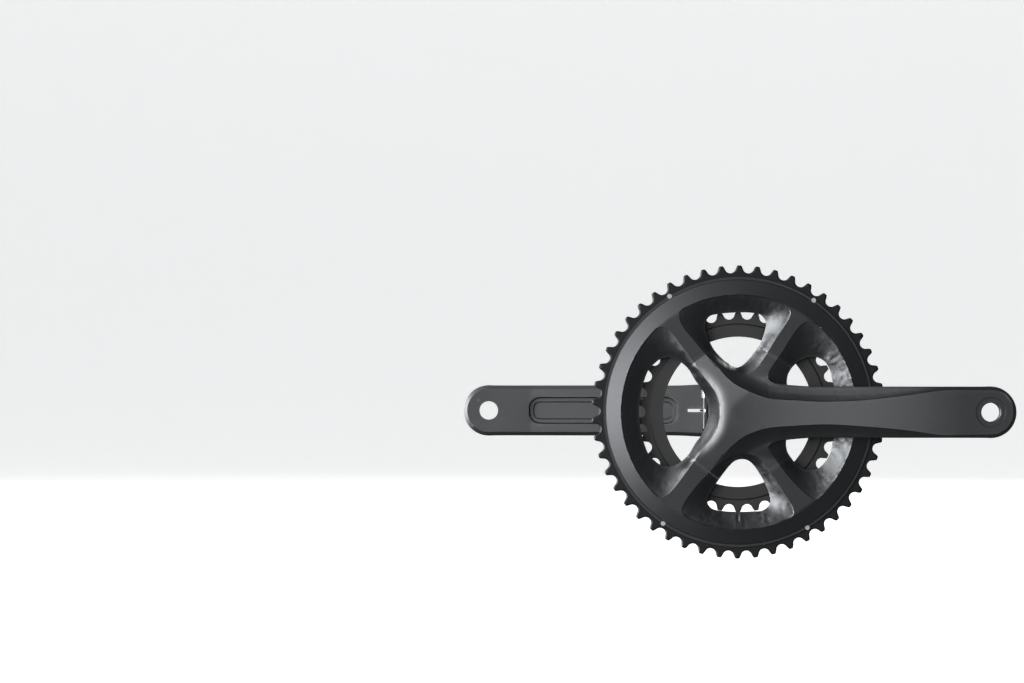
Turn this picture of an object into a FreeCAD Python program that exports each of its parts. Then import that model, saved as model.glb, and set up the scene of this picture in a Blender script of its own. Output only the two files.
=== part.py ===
import FreeCAD, Part
import math
import os
import re

import Sketcher

# Two-ring road crankset with its threaded bottom bracket.
# Frame: +X forward along the right crank, +Z up, and the drive side faces -Y.
# The origin is the crank axis at the middle of the bicycle's bottom bracket shell.
# "Outboard" distances are measured from that middle along the crank axis, on either side.

DRIVING = {
    # shared by every cut
    "overcut": 1.0,
    # bottom bracket cups
    "shell_width": 68.0,
    "cup_thread_diameter": 34.8,
    "cup_thread_length": 10.0,
    "thread_wall": 1.8,
    "cup_wall": 2.0,
    "flange_width": 11.2,
    "cup_chamfer": 0.75,
    "wrench_notches": 16,
    "notch_radius": 1.5,
    "notch_shift": 0.375,
    "notch_length": 7.84,
    "sleeve_wall": 1.4,
    "sleeve_gap": 0.05,
    "sleeve_inset": 2.0,
    # bearings and dust covers
    "bush_wall": 0.5,
    "bush_gap": 0.02,
    "bearing_section": 6.0,
    "bearing_width": 7.0,
    "bearing_sink": 0.2,
    "ball_diameter": 3.969,
    "ball_count": 17,
    "ball_gap": 0.045,
    "land_reach": 1.2,
    "seal_width": 0.5,
    "seal_gap": 0.15,
    "seal_sink": 0.15,
    "cage_wall": 1.3,
    "cage_width": 4.6,
    "cover_lip": 0.5,
    "cover_width": 0.7,
    "cover_gap": 0.3,
    # spindle
    "spindle_diameter": 24.0,
    "spindle_wall": 3.2,
    "spline_count": 24,
    "spline_depth": 0.7,
    "spline_length": 15.0,
    "seat_depth": 11.8,
    # crank arms
    "crank_length": 175.0,
    "pedal_offset": 28.8,
    "pedal_eye_radius": 18.0,
    "pedal_eye_thickness": 14.0,
    "pedal_thread_bore": 13.2,
    "pedal_relief_radius": 10.5,
    "pedal_relief_depth": 0.6,
    "eye_bevel": 2.8,
    "eye_face_radius": 15.3,
    "blade_half_width": 17.7,
    "root_face_half": 16.2,
    "root_rise": 4.0,
    "root_bevel": 5.0,
    "waist_station": 60.0,
    "waist_thickness": 10.6,
    "waist_side": 4.0,
    "waist_face_half": 8.2,
    "shoulder_setback": 30.0,
    "shoulder_face_half": 15.0,
    "shoulder_sink": 0.4,
    "shoulder_bevel": 4.0,
    "shoulder_drop": 1.0,
    "blade_gap": 2.2,
    "channel_start": 37.0,
    "channel_setback": 28.0,
    "channel_half_width": 9.6,
    "channel_taper": 1.5,
    "channel_depth": 4.0,
    "right_hub_width": 16.3,
    "hub_radius": 20.5,
    "hub_bevel": 5.0,
    "hub_chamfer": 1.0,
    "left_hub_bevel": 2.0,
    # spider and chainrings
    "bolt_circle": 110.0,
    "front_arm_angle": 57.5,
    "rear_arm_angle": 126.5,
    "seam_setback": 9.0,
    "seam_gap": 0.15,
    "arm_face_half": 5.2,
    "arm_skirt": 1.5,
    "arm_tip_gap": 0.6,
    "arm_root_sink": 7.0,
    "arm_root_drop": 2.5,
    "arm_root_back_half": 12.0,
    "arm_root_face_half": 9.0,
    "arm_foot_reach": 1.0,
    "arm_foot_drop": 4.0,
    "arm_foot_back_half": 11.0,
    "arm_foot_face_half": 7.0,
    "tab_overlap": 4.0,
    "tab_margin": 3.5,
    "chain_pitch": 12.7,
    "roller_seat": 3.9,
    "tooth_height": 1.47,
    "tooth_tip": 2.6,
    "tooth_thickness": 2.1,
    "flank_angle": 75.0,
    "gap_flare": 0.55,
    "outer_teeth": 50,
    "inner_teeth": 34,
    "outer_gap_turn": -0.4,
    "ring_offset": 13.0,
    "ring_spacing": 7.0,
    "step_setback": 6.54,
    "step_slope": 1.0,
    "step_height": 1.3,
    "face_setback": 8.74,
    "face_height": 2.4,
    "ridge_setback": 18.84,
    "ridge_rise": 5.4,
    "window_setback": 31.74,
    "window_edge_height": 1.6,
    "ring_wall": 2.6,
    "ridge_wall": 3.64,
    "ridge_land": 2.0,
    "rim_foot": 1.0,
    "inner_band": 16.2,
    "inner_land_setback": 6.8,
    "inner_land_slope": 1.0,
    "inner_ring_thickness": 3.0,
    # chainring bolts and pins
    "bolt_sleeve_diameter": 10.0,
    "bolt_shoulder": 1.0,
    "bolt_thread_length": 5.0,
    "bolt_head_lip": 1.2,
    "bolt_head_height": 2.2,
    "bolt_socket": 5.0,
    "bolt_gap": 0.02,
    "thread_clear": 0.5,
    "shift_pin_setback": 6.94,
    "shift_pin_radius": 1.6,
    "shift_pin_head_radius": 2.6,
    "shift_pin_reach": 1.8,
    "shift_pin_proud": 0.25,
    "drop_pin_setback": 14.1,
    "drop_pin_radius": 2.4,
    "drop_pin_clear": 0.5,
    # left arm clamp
    "clamp_bolt_diameter": 6.0,
    "clamp_bolt_setback": 7.5,
    "clamp_web": 0.6,
    "clamp_head_lip": 1.2,
    "clamp_head_height": 5.2,
    "clamp_socket": 5.0,
    "clamp_socket_depth": 3.12,
    "clamp_counterbore_gap": 0.25,
    "clamp_grip": 9.0,
    "clamp_thread_length": 13.0,
    "washer_thickness": 0.7,
    "slot_width": 2.2,
    "slot_reach": 13.5,
    # stopper plate
    "plate_thickness": 1.4,
    "plate_eye_wall": 1.6,
    "plate_pivot_gap": 0.05,
    "plate_arm_gap": 0.3,
    "plate_half_width": 1.6,
    "plate_bite": 1.5,
    "plate_drop": 5.5,
    "plate_hole_radius": 4.0,
    "plate_hole_shift": 0.7,
    # preload cap
    "cap_flange_lip": 1.4,
    "cap_flange_width": 2.0,
    "cap_sink": 0.2,
    "cap_gap": 0.1,
    "cap_plug_length": 7.0,
    "cap_floor": 1.6,
    "cap_wall": 2.8,
    "cap_lobe_radius": 1.3,
    "cap_lobes": 8,
}

DERIVED = {
    "shell_face": "shell_width / 2",
    "flange_face": "shell_face + flange_width",
    "cup_bore_radius": "cup_thread_diameter / 2 - thread_wall",
    "spindle_radius": "spindle_diameter / 2",
    "spindle_bore_radius": "spindle_radius - spindle_wall",
    "bush_radius": "spindle_radius + bush_gap",
    "bearing_bore_radius": "spindle_radius + bush_wall",
    "bearing_radius": "bearing_bore_radius + bearing_section",
    "flange_radius": "bearing_radius + cup_wall",
    "bearing_outer": "flange_face - bearing_sink",
    "bearing_inner": "bearing_outer - bearing_width",
    "bearing_middle": "bearing_outer - bearing_width / 2",
    "ball_circle": "(bearing_bore_radius + bearing_radius) / 2",
    "groove_radius": "ball_diameter / 2 + ball_gap",
    "groove_half": "sqrt(pow(groove_radius; 2) - pow(land_reach; 2))",
    "outer_land": "ball_circle + land_reach",
    "inner_land": "ball_circle - land_reach",
    "cover_inner": "flange_face + cover_gap",
    "hub_back": "cover_inner + cover_width",
    "hub_front": "hub_back + right_hub_width",
    "spindle_right": "hub_back + seat_depth",
    "clamp_radius": "clamp_bolt_diameter / 2",
    "clamp_head_radius": "clamp_radius + clamp_head_lip",
    "counterbore_radius": "clamp_head_radius + clamp_counterbore_gap",
    "clamp_inner": "hub_back + clamp_web + counterbore_radius",
    "clamp_outer": "clamp_inner + clamp_web + 2 * counterbore_radius",
    "left_hub_front": "clamp_outer + counterbore_radius + clamp_web",
    "clamp_station": "spindle_radius + clamp_bolt_setback",
    "plate_reach": "clamp_bolt_setback + plate_bite",
    "plate_length": "sqrt(pow(plate_reach; 2) + pow(plate_drop; 2))",
    "cap_seat": "left_hub_front - cap_flange_width - cap_sink",
    "cap_flange_radius": "spindle_radius + cap_flange_lip",
    "cap_socket_radius": "spindle_bore_radius - cap_wall",
    "pedal_front": "hub_back + pedal_offset",
    "pedal_back": "pedal_front - pedal_eye_thickness",
    "ring_plane": "shell_face + ring_offset",
    "ring_back": "ring_plane - tooth_thickness / 2",
    "ring_front": "ring_plane + tooth_thickness / 2",
    "ridge_height": "ring_front + ridge_rise",
    "outer_pitch_radius": "chain_pitch / (2 * sin(180 / outer_teeth))",
    "outer_tip_radius": "outer_pitch_radius + tooth_height",
    "step_radius": "outer_pitch_radius - step_setback",
    "face_radius": "outer_pitch_radius - face_setback",
    "ridge_radius": "outer_pitch_radius - ridge_setback",
    "window_radius": "outer_pitch_radius - window_setback",
    "shift_pin_place": "outer_pitch_radius - shift_pin_setback",
    "drop_pin_place": "outer_pitch_radius - drop_pin_setback",
    "inner_pitch_radius": "chain_pitch / (2 * sin(180 / inner_teeth))",
    "inner_tip_radius": "inner_pitch_radius + tooth_height",
    "inner_bore_radius": "inner_pitch_radius - inner_band",
    "inner_land_radius": "inner_pitch_radius - inner_land_setback",
    "inner_back": "ring_back - ring_spacing",
    "inner_seat": "inner_back + inner_ring_thickness",
    "waist_back": "ridge_height + blade_gap",
    "waist_front": "waist_back + waist_thickness",
    "root_back": "hub_back + root_rise",
    "shoulder_station": "crank_length - shoulder_setback",
    "shoulder_back": "pedal_back - shoulder_sink",
    "bolt_place": "bolt_circle / 2",
    "seam_radius": "bolt_place - seam_setback",
    "sleeve_radius": "bolt_sleeve_diameter / 2",
    "screw_radius": "sleeve_radius - bolt_shoulder",
    "tab_half_width": "sleeve_radius + tab_margin",
    "arm_back_half": "tab_half_width + arm_skirt",
    "thread_end": "ring_back + bolt_thread_length",
}

RIGHT = "-1"
LEFT = "1"
ARM_ANGLES = ("front_arm_angle", "rear_arm_angle", "-rear_arm_angle", "-front_arm_angle")
SHIFT_PIN_ANGLES = (56.0, 120.8, 236.0, 300.8)

doc = FreeCAD.newDocument("crankset")
sheet = doc.addObject("Spreadsheet::Sheet", "Dims")
nodes = []


def fill_sheet():
    """Writes each driving dimension as a plain number with its word alias."""
    for row, (alias, number) in enumerate(DRIVING.items(), start=1):
        sheet.set(f"A{row}", alias.replace("_", " "))
        sheet.set(f"B{row}", str(number))
        sheet.setAlias(f"B{row}", alias)
    doc.recompute()


def formula(text):
    """Spells out derived names and points every alias at the sheet."""
    def spell(match):
        word = match.group()
        if word in DERIVED:
            return "(" + formula(DERIVED[word]) + ")"
        return "Dims." + word if word in DRIVING else word
    return re.sub(r"[a-z][a-z_]+", spell, text)


def value(text):
    """The number that an expression gives now."""
    return float(sheet.evalExpression(formula(text)))


def new_body(label):
    body = doc.addObject("PartDesign::Body", label)
    body.Label = label
    nodes.append(body)
    return body


def origin_feature(body, role):
    return next(item for item in body.Origin.OriginFeatures if item.Role == role)


def new_sketch(body, name, plane, shift="0"):
    """Empty sketch on one of the body's own planes, moved along that plane's normal."""
    made = body.newObject("Sketcher::SketchObject", name)
    made.AttachmentSupport = [(origin_feature(body, plane), "")]
    made.MapMode = "FlatFace"
    made.setExpression("AttachmentOffset.Base.z", formula(shift))
    return made


def side_sketch(body, name, side, outboard, turn="0"):
    """Sketch square to the crank axis at an outboard distance, turned about that axis."""
    made = new_sketch(body, name, "XZ_Plane", f"-({side}) * ({outboard})")
    turn_axis = FreeCAD.Vector(0, 0, 1)
    made.AttachmentOffset = FreeCAD.Placement(FreeCAD.Vector(), FreeCAD.Rotation(turn_axis, 0))
    made.setExpression("AttachmentOffset.Rotation.Angle", formula(turn))
    return made


def radial_sketch(body, name, angle, radius):
    """Sketch square to a spider arm: x is -outboard and y is across the arm."""
    made = new_sketch(body, name, "YZ_Plane", f"({radius}) * cos({angle})")
    turn_axis = FreeCAD.Vector(-1, 0, 0)
    made.AttachmentOffset = FreeCAD.Placement(FreeCAD.Vector(), FreeCAD.Rotation(turn_axis, 1))
    made.setExpression("AttachmentOffset.Base.y", formula(f"({radius}) * sin({angle})"))
    made.setExpression("AttachmentOffset.Rotation.Angle", formula(angle))
    return made


def arc_between(start, end, bend):
    """Arc from start to end: anticlockwise for a positive bend radius, clockwise for a negative one."""
    chord = end - start
    middle = (start + end) / 2
    rise = math.sqrt(max(bend * bend - chord.Length ** 2 / 4, 0.0))
    across = FreeCAD.Vector(-chord.y, chord.x, 0).normalize()
    centre = middle + across * math.copysign(rise, bend)
    first, last = (start, end) if bend > 0 else (end, start)
    circle = Part.Circle(centre, FreeCAD.Vector(0, 0, 1), abs(bend))
    return Part.ArcOfCircle(circle, circle.parameter(first), circle.parameter(last))


def pin_point(made, geometry, point, x_text, y_text):
    """Ties one sketch point to its two coordinates."""
    for kind, text in (("DistanceX", x_text), ("DistanceY", y_text)):
        index = made.addConstraint(Sketcher.Constraint(kind, -1, 1, geometry, point, value(text)))
        made.setExpression(f"Constraints[{index}]", formula(text))


def outline(made, corners):
    """Closed outline. A corner is (x, y), or (x, y, bend) where the side that reaches it is an arc."""
    spots = [FreeCAD.Vector(value(corner[0]), value(corner[1]), 0) for corner in corners]
    bends = [value(corner[2]) if len(corner) > 2 else 0.0 for corner in corners]
    first = made.GeometryCount
    for number, bend in enumerate(bends):
        start, end = spots[number - 1], spots[number]
        made.addGeometry(arc_between(start, end, bend) if bend else Part.LineSegment(start, end))
    for number, corner in enumerate(corners):
        after = (number + 1) % len(corners)
        arrives = 1 if bends[number] < 0 else 2
        leaves = 2 if bends[after] < 0 else 1
        join = Sketcher.Constraint("Coincident", first + number, arrives, first + after, leaves)
        made.addConstraint(join)
        pin_point(made, first + number, arrives, corner[0], corner[1])
        if bends[number]:
            index = made.addConstraint(Sketcher.Constraint("Radius", first + number, abs(bends[number])))
            made.setExpression(f"Constraints[{index}]", formula(f"abs({corner[2]})"))
    return made


def round_hole(made, radius, x_text="0", y_text="0"):
    """Circle with its centre and radius tied to the sheet."""
    centre = FreeCAD.Vector(value(x_text), value(y_text), 0)
    index = made.addGeometry(Part.Circle(centre, FreeCAD.Vector(0, 0, 1), value(radius)))
    pin_point(made, index, 3, x_text, y_text)
    tie = made.addConstraint(Sketcher.Constraint("Radius", index, value(radius)))
    made.setExpression(f"Constraints[{tie}]", formula(radius))
    return made


def hexagon(made, across_flats, x_text="0", y_text="0"):
    """Hexagon of the given width across its flats."""
    reach = f"({across_flats}) / sqrt(3)"
    corners = [(f"{x_text} + {reach} * cos({60 * turn})", f"{y_text} + {reach} * sin({60 * turn})")
               for turn in range(6)]
    return outline(made, corners)


def feature(body, kind, name, profile, **settings):
    """PartDesign feature from a sketch. Text settings are expressions and the others are plain values."""
    made = body.newObject("PartDesign::" + kind, name)
    made.Profile = (profile, [""])
    for key, setting in settings.items():
        if isinstance(setting, str) and key != "Type":
            made.setExpression(key, formula(setting))
        else:
            setattr(made, key, setting)
    profile.Visibility = False
    return made


def pad(body, name, profile, length, side=RIGHT, **settings):
    return feature(body, "Pad", name, profile, Length=length, Reversed=side == LEFT, **settings)


def pocket(body, name, profile, length, side=RIGHT, **settings):
    return feature(body, "Pocket", name, profile, Length=length, Reversed=side == LEFT, **settings)


def revolve(body, kind, name, side, corners):
    """Turns an outline of (outboard, radius) corners about the crank axis."""
    made = new_sketch(body, name + "Outline", "YZ_Plane")
    outline(made, [
        (f"{side} * ({corner[0]})", corner[1]) + tuple(f"{side} * ({bend})" for bend in corner[2:])
        for corner in corners
    ])
    return feature(body, kind, name, made, ReferenceAxis=(made, ["H_Axis"]))


def ring_pattern(body, name, original, sketch, count):
    """Repeats one feature evenly about the crank axis."""
    made = body.newObject("PartDesign::PolarPattern", name)
    made.Originals = [original]
    made.Axis = (sketch, ["N_Axis"])
    made.Angle = 360
    made.setExpression("Occurrences", formula(count))
    body.Tip = made
    return made


def loft(body, kind, name, sections):
    """Straight-sided loft through sections that have the same number of corners."""
    made = body.newObject("PartDesign::" + kind, name)
    made.Profile = (sections[0], [""])
    made.Sections = [(section, [""]) for section in sections[1:]]
    made.Ruled = True
    return made


def turned_ring(label, side, inboard, outboard, inner_radius, outer_radius):
    """Plain ring about the crank axis."""
    body = new_body(label)
    revolve(body, "Revolution", "Ring", side, [
        (inboard, inner_radius), (outboard, inner_radius), (outboard, outer_radius), (inboard, outer_radius)])
    return body


# ---- bottom bracket -------------------------------------------------------------------------


def bearing_cup(label, side):
    """Threaded cup whose flange holds the bearing outboard of the shell."""
    body = new_body(label)
    revolve(body, "Revolution", "Cup", side, [
        ("shell_face - cup_thread_length", "cup_bore_radius"),
        ("bearing_inner", "cup_bore_radius"),
        ("bearing_inner", "bearing_radius"),
        ("flange_face", "bearing_radius"),
        ("flange_face", "flange_radius - cup_chamfer"),
        ("flange_face - cup_chamfer", "flange_radius"),
        ("shell_face", "flange_radius"),
        ("shell_face", "cup_thread_diameter / 2"),
        ("shell_face - cup_thread_length + cup_chamfer", "cup_thread_diameter / 2"),
        ("shell_face - cup_thread_length", "cup_thread_diameter / 2 - cup_chamfer")])
    notch = side_sketch(body, "NotchOutline", side, "flange_face")
    round_hole(notch, "notch_radius", "flange_radius + notch_shift")
    cut = pocket(body, "Notch", notch, "notch_length", side)
    ring_pattern(body, "Notches", cut, notch, "wrench_notches")


def bearing_sleeve():
    """Thin tube that keeps water off the spindle between the cups."""
    end = "shell_face - sleeve_inset"
    outer = "cup_bore_radius - sleeve_gap"
    turned_ring("bearing_sleeve", RIGHT, f"-({end})", end, f"{outer} - sleeve_wall", outer)


def outer_race(label, side):
    body = new_body(label)
    revolve(body, "Revolution", "Race", side, [
        ("bearing_inner", "outer_land"),
        ("bearing_middle - groove_half", "outer_land"),
        ("bearing_middle + groove_half", "outer_land", "-groove_radius"),
        ("bearing_outer", "outer_land"),
        ("bearing_outer", "bearing_radius"),
        ("bearing_inner", "bearing_radius")])


def inner_race(label, side):
    body = new_body(label)
    revolve(body, "Revolution", "Race", side, [
        ("bearing_inner", "inner_land"),
        ("bearing_middle - groove_half", "inner_land"),
        ("bearing_middle + groove_half", "inner_land", "groove_radius"),
        ("bearing_outer", "inner_land"),
        ("bearing_outer", "bearing_bore_radius"),
        ("bearing_inner", "bearing_bore_radius")])


def bearing_seals(label, side):
    """Two rubber washers held in the outer race, one at each face of the bearing."""
    inner = "inner_land + seal_gap"
    body = new_body(label)
    body.AllowCompound = True
    for name, start in (("Inboard", "bearing_inner + seal_sink"),
                        ("Outboard", "bearing_outer - seal_sink - seal_width")):
        revolve(body, "Revolution", name, side, [
            (start, inner), (f"{start} + seal_width", inner),
            (f"{start} + seal_width", "outer_land"), (start, "outer_land")])


def bearing_balls(label, side):
    """Balls in one node, spaced evenly round the ball circle."""
    body = new_body(label)
    body.AllowCompound = True
    radius = "ball_diameter / 2"
    half = new_sketch(body, "BallOutline", "YZ_Plane")
    outline(half, [
        (f"{side} * bearing_middle - {radius}", "ball_circle"),
        (f"{side} * bearing_middle", f"ball_circle + {radius}", f"-{radius}"),
        (f"{side} * bearing_middle + {radius}", "ball_circle", f"-{radius}")])
    height = value("ball_circle")
    axis = Part.LineSegment(FreeCAD.Vector(0, height, 0), FreeCAD.Vector(1, height, 0))
    line = half.addGeometry(axis, True)
    pin_point(half, line, 1, "0", "ball_circle")
    pin_point(half, line, 2, "1", "ball_circle")
    ball = feature(body, "Revolution", "Ball", half, ReferenceAxis=(half, ["Axis0"]))
    turn = side_sketch(body, "Circle", side, "bearing_middle")
    ring_pattern(body, "Balls", ball, turn, "ball_count")


def ball_cage(label, side):
    """Plastic ring with one round pocket for each ball."""
    body = new_body(label)
    revolve(body, "Revolution", "Cage", side, [
        ("bearing_middle - cage_width / 2", "ball_circle - cage_wall / 2"),
        ("bearing_middle + cage_width / 2", "ball_circle - cage_wall / 2"),
        ("bearing_middle + cage_width / 2", "ball_circle + cage_wall / 2"),
        ("bearing_middle - cage_width / 2", "ball_circle + cage_wall / 2")])
    hole = new_sketch(body, "PocketOutline", "XY_Plane", "ball_circle + cage_wall")
    round_hole(hole, "groove_radius", "0", f"{side} * bearing_middle")
    cut = feature(body, "Pocket", "BallPocket", hole, Length="cage_wall * 2")
    turn = side_sketch(body, "Circle", side, "bearing_middle")
    ring_pattern(body, "BallPockets", cut, turn, "ball_count")


def dust_cover(label, side):
    """Plastic bush between spindle and inner race, with a flange over the bearing."""
    body = new_body(label)
    revolve(body, "Revolution", "Cover", side, [
        ("bearing_inner", "bush_radius"),
        ("hub_back", "bush_radius"),
        ("hub_back", "bearing_radius + cover_lip"),
        ("cover_inner", "bearing_radius + cover_lip"),
        ("cover_inner", "inner_land"),
        ("bearing_outer", "inner_land"),
        ("bearing_outer", "bearing_bore_radius"),
        ("bearing_inner", "bearing_bore_radius")])


# ---- spindle --------------------------------------------------------------------------------


def crank_spindle():
    """Hollow steel spindle, splined at its left end, with a hole for the stopper plate's pin."""
    body = new_body("crank_spindle")
    revolve(body, "Revolution", "Tube", LEFT, [
        ("-spindle_right", "spindle_bore_radius"),
        ("cap_seat", "spindle_bore_radius"),
        ("cap_seat", "spindle_radius - spline_depth"),
        ("cap_seat - spline_depth", "spindle_radius"),
        ("-spindle_right + spline_depth", "spindle_radius"),
        ("-spindle_right", "spindle_radius - spline_depth")])
    groove = side_sketch(body, "SplineOutline", LEFT, "cap_seat")
    round_hole(groove, "spline_depth", "spindle_radius * cos(180 / spline_count)",
               "spindle_radius * sin(180 / spline_count)")
    cut = pocket(body, "Spline", groove, "spline_length", LEFT)
    ring_pattern(body, "Splines", cut, groove, "spline_count")
    hole = new_sketch(body, "PinHoleOutline", "YZ_Plane", "-(spindle_radius + overcut)")
    round_hole(hole, "plate_hole_radius", "clamp_outer - plate_drop - plate_hole_shift")
    feature(body, "Pocket", "PinHole", hole, Length="spindle_radius", Reversed=True)


# ---- crank arms -----------------------------------------------------------------------------


def blade(body, side, reach, front_at_hub):
    """Straight arm from the hub to the pedal eye, with a raised face between two bevels."""
    stations = (
        ("0", "root_face_half", "root_back", f"{front_at_hub} - root_bevel", front_at_hub),
        ("waist_station", "waist_face_half", "waist_back", "waist_back + waist_side", "waist_front"),
        ("shoulder_station", "shoulder_face_half", "shoulder_back",
         "pedal_front - shoulder_bevel", "pedal_front - shoulder_drop"),
        ("crank_length", "shoulder_face_half", "pedal_back", "pedal_front - eye_bevel", "pedal_front"))
    sections = []
    half = "blade_half_width"
    for number, (along, face, back, edge, front) in enumerate(stations):
        made = new_sketch(body, f"BladeSection{number}", "YZ_Plane", f"{reach} * ({along})")
        outline(made, [
            (f"{side} * ({back})", f"-({half})"), (f"{side} * ({edge})", f"-({half})"),
            (f"{side} * ({front})", f"-({face})"), (f"{side} * ({front})", face),
            (f"{side} * ({edge})", half), (f"{side} * ({back})", half)])
        sections.append(made)
    loft(body, "AdditiveLoft", "Blade", sections)


def pedal_eye(body, side, reach):
    """Round end of the arm with a bevelled outer rim."""
    place = f"{reach} * crank_length"
    base = side_sketch(body, "EyeOutline", side, "pedal_back")
    round_hole(base, "pedal_eye_radius", place)
    pad(body, "Eye", base, "pedal_eye_thickness - eye_bevel", side)
    rims = []
    for name, outboard, radius in (("EyeRimLow", "pedal_front - eye_bevel", "pedal_eye_radius"),
                                   ("EyeRimHigh", "pedal_front", "eye_face_radius")):
        rim = side_sketch(body, name, side, outboard)
        round_hole(rim, radius, place)
        rims.append(rim)
    loft(body, "AdditiveLoft", "EyeRim", rims)


def pedal_hole(body, side, reach):
    """Bore for the pedal thread and a shallow seat for the pedal's shoulder."""
    place = f"{reach} * crank_length"
    bore = side_sketch(body, "PedalBoreOutline", side, "pedal_front")
    round_hole(bore, "pedal_thread_bore / 2", place)
    pocket(body, "PedalBore", bore, "pedal_eye_thickness + overcut", side)
    seat = side_sketch(body, "PedalSeatOutline", side, "pedal_front")
    round_hole(seat, "pedal_relief_radius", place)
    pocket(body, "PedalSeat", seat, "pedal_relief_depth", side)


def channel(body, side, reach):
    """Lightening channel along the frame side of the arm."""
    start_back = "root_back + (waist_back - root_back) * channel_start / waist_station"
    stations = (("channel_start", start_back), ("waist_station", "waist_back"),
                ("crank_length - channel_setback", "shoulder_back"))
    sections = []
    for number, (along, back) in enumerate(stations):
        made = new_sketch(body, f"ChannelSection{number}", "YZ_Plane", f"{reach} * ({along})")
        low = f"{side} * ({back} - channel_depth)"
        high = f"{side} * ({back} + channel_depth)"
        outline(made, [(low, "-channel_half_width"), (high, "channel_taper - channel_half_width"),
                       (high, "channel_half_width - channel_taper"), (low, "channel_half_width")])
        sections.append(made)
    loft(body, "SubtractiveLoft", "Channel", sections)


def spider_arm(body, number, angle):
    """One spider arm from the hub to the seam, and the tab behind the chainring's arm."""
    sections = []
    stations = (
        ("hub_radius - arm_root_sink", "hub_back", "hub_front - arm_root_drop",
         "arm_root_back_half", "arm_root_face_half"),
        ("hub_radius + arm_foot_reach", "hub_back", "hub_front - arm_foot_drop",
         "arm_foot_back_half", "arm_foot_face_half"),
        ("seam_radius", "inner_seat", "ridge_height", "arm_back_half", "arm_face_half"))
    for step, (radius, back, front, back_half, face_half) in enumerate(stations):
        made = radial_sketch(body, f"SpiderSection{number}{step}", angle, radius)
        outline(made, [(f"-({back})", f"-({back_half})"), (f"-({front})", f"-({face_half})"),
                       (f"-({front})", face_half), (f"-({back})", back_half)])
        sections.append(made)
    loft(body, "AdditiveLoft", f"SpiderArm{number}", sections)
    tab = side_sketch(body, f"TabOutline{number}", RIGHT, "inner_seat", angle)
    outline(tab, [
        ("seam_radius - tab_overlap", "-tab_half_width"), ("bolt_place", "-tab_half_width"),
        ("bolt_place + tab_half_width", "0", "tab_half_width"),
        ("bolt_place", "tab_half_width", "tab_half_width"), ("seam_radius - tab_overlap", "tab_half_width")])
    pad(body, f"Tab{number}", tab, "ring_back - inner_seat")
    hole = side_sketch(body, f"TabHoleOutline{number}", RIGHT, "ring_back", angle)
    round_hole(hole, "sleeve_radius + bolt_gap", "bolt_place")
    pocket(body, f"TabHole{number}", hole, "ring_back - inner_seat")


def right_crank_arm():
    """Forged right arm with its spider and blind spindle seat in one piece."""
    body = new_body("right_crank_arm")
    revolve(body, "Revolution", "Hub", RIGHT, [
        ("hub_back", "0"), ("hub_back", "hub_radius - hub_chamfer"), ("hub_back + hub_chamfer", "hub_radius"),
        ("hub_front - hub_bevel", "hub_radius - hub_chamfer"), ("hub_front", "hub_radius - hub_bevel"),
        ("hub_front", "0")])
    for number, angle in enumerate(ARM_ANGLES):
        spider_arm(body, number, angle)
    blade(body, RIGHT, "1", "hub_front")
    channel(body, RIGHT, "1")
    pedal_eye(body, RIGHT, "1")
    pedal_hole(body, RIGHT, "1")
    seat = side_sketch(body, "SpindleSeatOutline", RIGHT, "spindle_right")
    round_hole(seat, "spindle_radius")
    pocket(body, "SpindleSeat", seat, "seat_depth + overcut")


def left_crank_arm():
    """Left arm whose split hub is pinched onto the splines by two bolts."""
    body = new_body("left_crank_arm")
    revolve(body, "Revolution", "Hub", LEFT, [
        ("hub_back", "0"), ("hub_back", "hub_radius - hub_chamfer"), ("hub_back + hub_chamfer", "hub_radius"),
        ("left_hub_front - left_hub_bevel", "hub_radius"), ("left_hub_front", "hub_radius - left_hub_bevel"),
        ("left_hub_front", "0")])
    blade(body, LEFT, "-1", "left_hub_front")
    channel(body, LEFT, "-1")
    pedal_eye(body, LEFT, "-1")
    pedal_hole(body, LEFT, "-1")
    bore = side_sketch(body, "SpindleBoreOutline", LEFT, "left_hub_front")
    round_hole(bore, "bush_radius")
    pocket(body, "SpindleBore", bore, "left_hub_front - hub_back", LEFT)
    seat = side_sketch(body, "CapSeatOutline", LEFT, "left_hub_front")
    round_hole(seat, "cap_flange_radius + cap_gap")
    pocket(body, "CapSeat", seat, "cap_flange_width + cap_sink", LEFT)
    clamp_slot(body)
    for number, place in enumerate(("clamp_inner", "clamp_outer")):
        clamp_bolt_hole(body, number, place)


def clamp_slot(body):
    """Slot that lets the hub close on the spindle."""
    far = "clamp_station + slot_reach"
    made = side_sketch(body, "SlotOutline", LEFT, "left_hub_front + overcut")
    outline(made, [
        (f"-({far})", "-slot_width / 2"), ("0", "-slot_width / 2"),
        ("0", "slot_width / 2"), (f"-({far})", "slot_width / 2")])
    pocket(body, "Slot", made, "left_hub_front - hub_back + 2 * overcut", LEFT)


def clamp_bolt_hole(body, number, place):
    """Counterbore, clearance hole and tapped hole across the slot, entered from above."""
    steps = (
        ("Counterbore", "hub_radius + overcut", "counterbore_radius", "clamp_grip"),
        ("Clearance", "clamp_grip + overcut", "clamp_radius + clamp_counterbore_gap", "slot_width / 2"),
        ("Tapped", "slot_width", "clamp_radius + bolt_gap", "-clamp_thread_length - overcut"))
    for name, top, radius, bottom in steps:
        made = new_sketch(body, f"{name}Outline{number}", "XY_Plane", top)
        round_hole(made, radius, "-clamp_station", place)
        feature(body, "Pocket", f"{name}{number}", made, Length=f"{top} - ({bottom})")


# ---- chainrings -----------------------------------------------------------------------------


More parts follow.
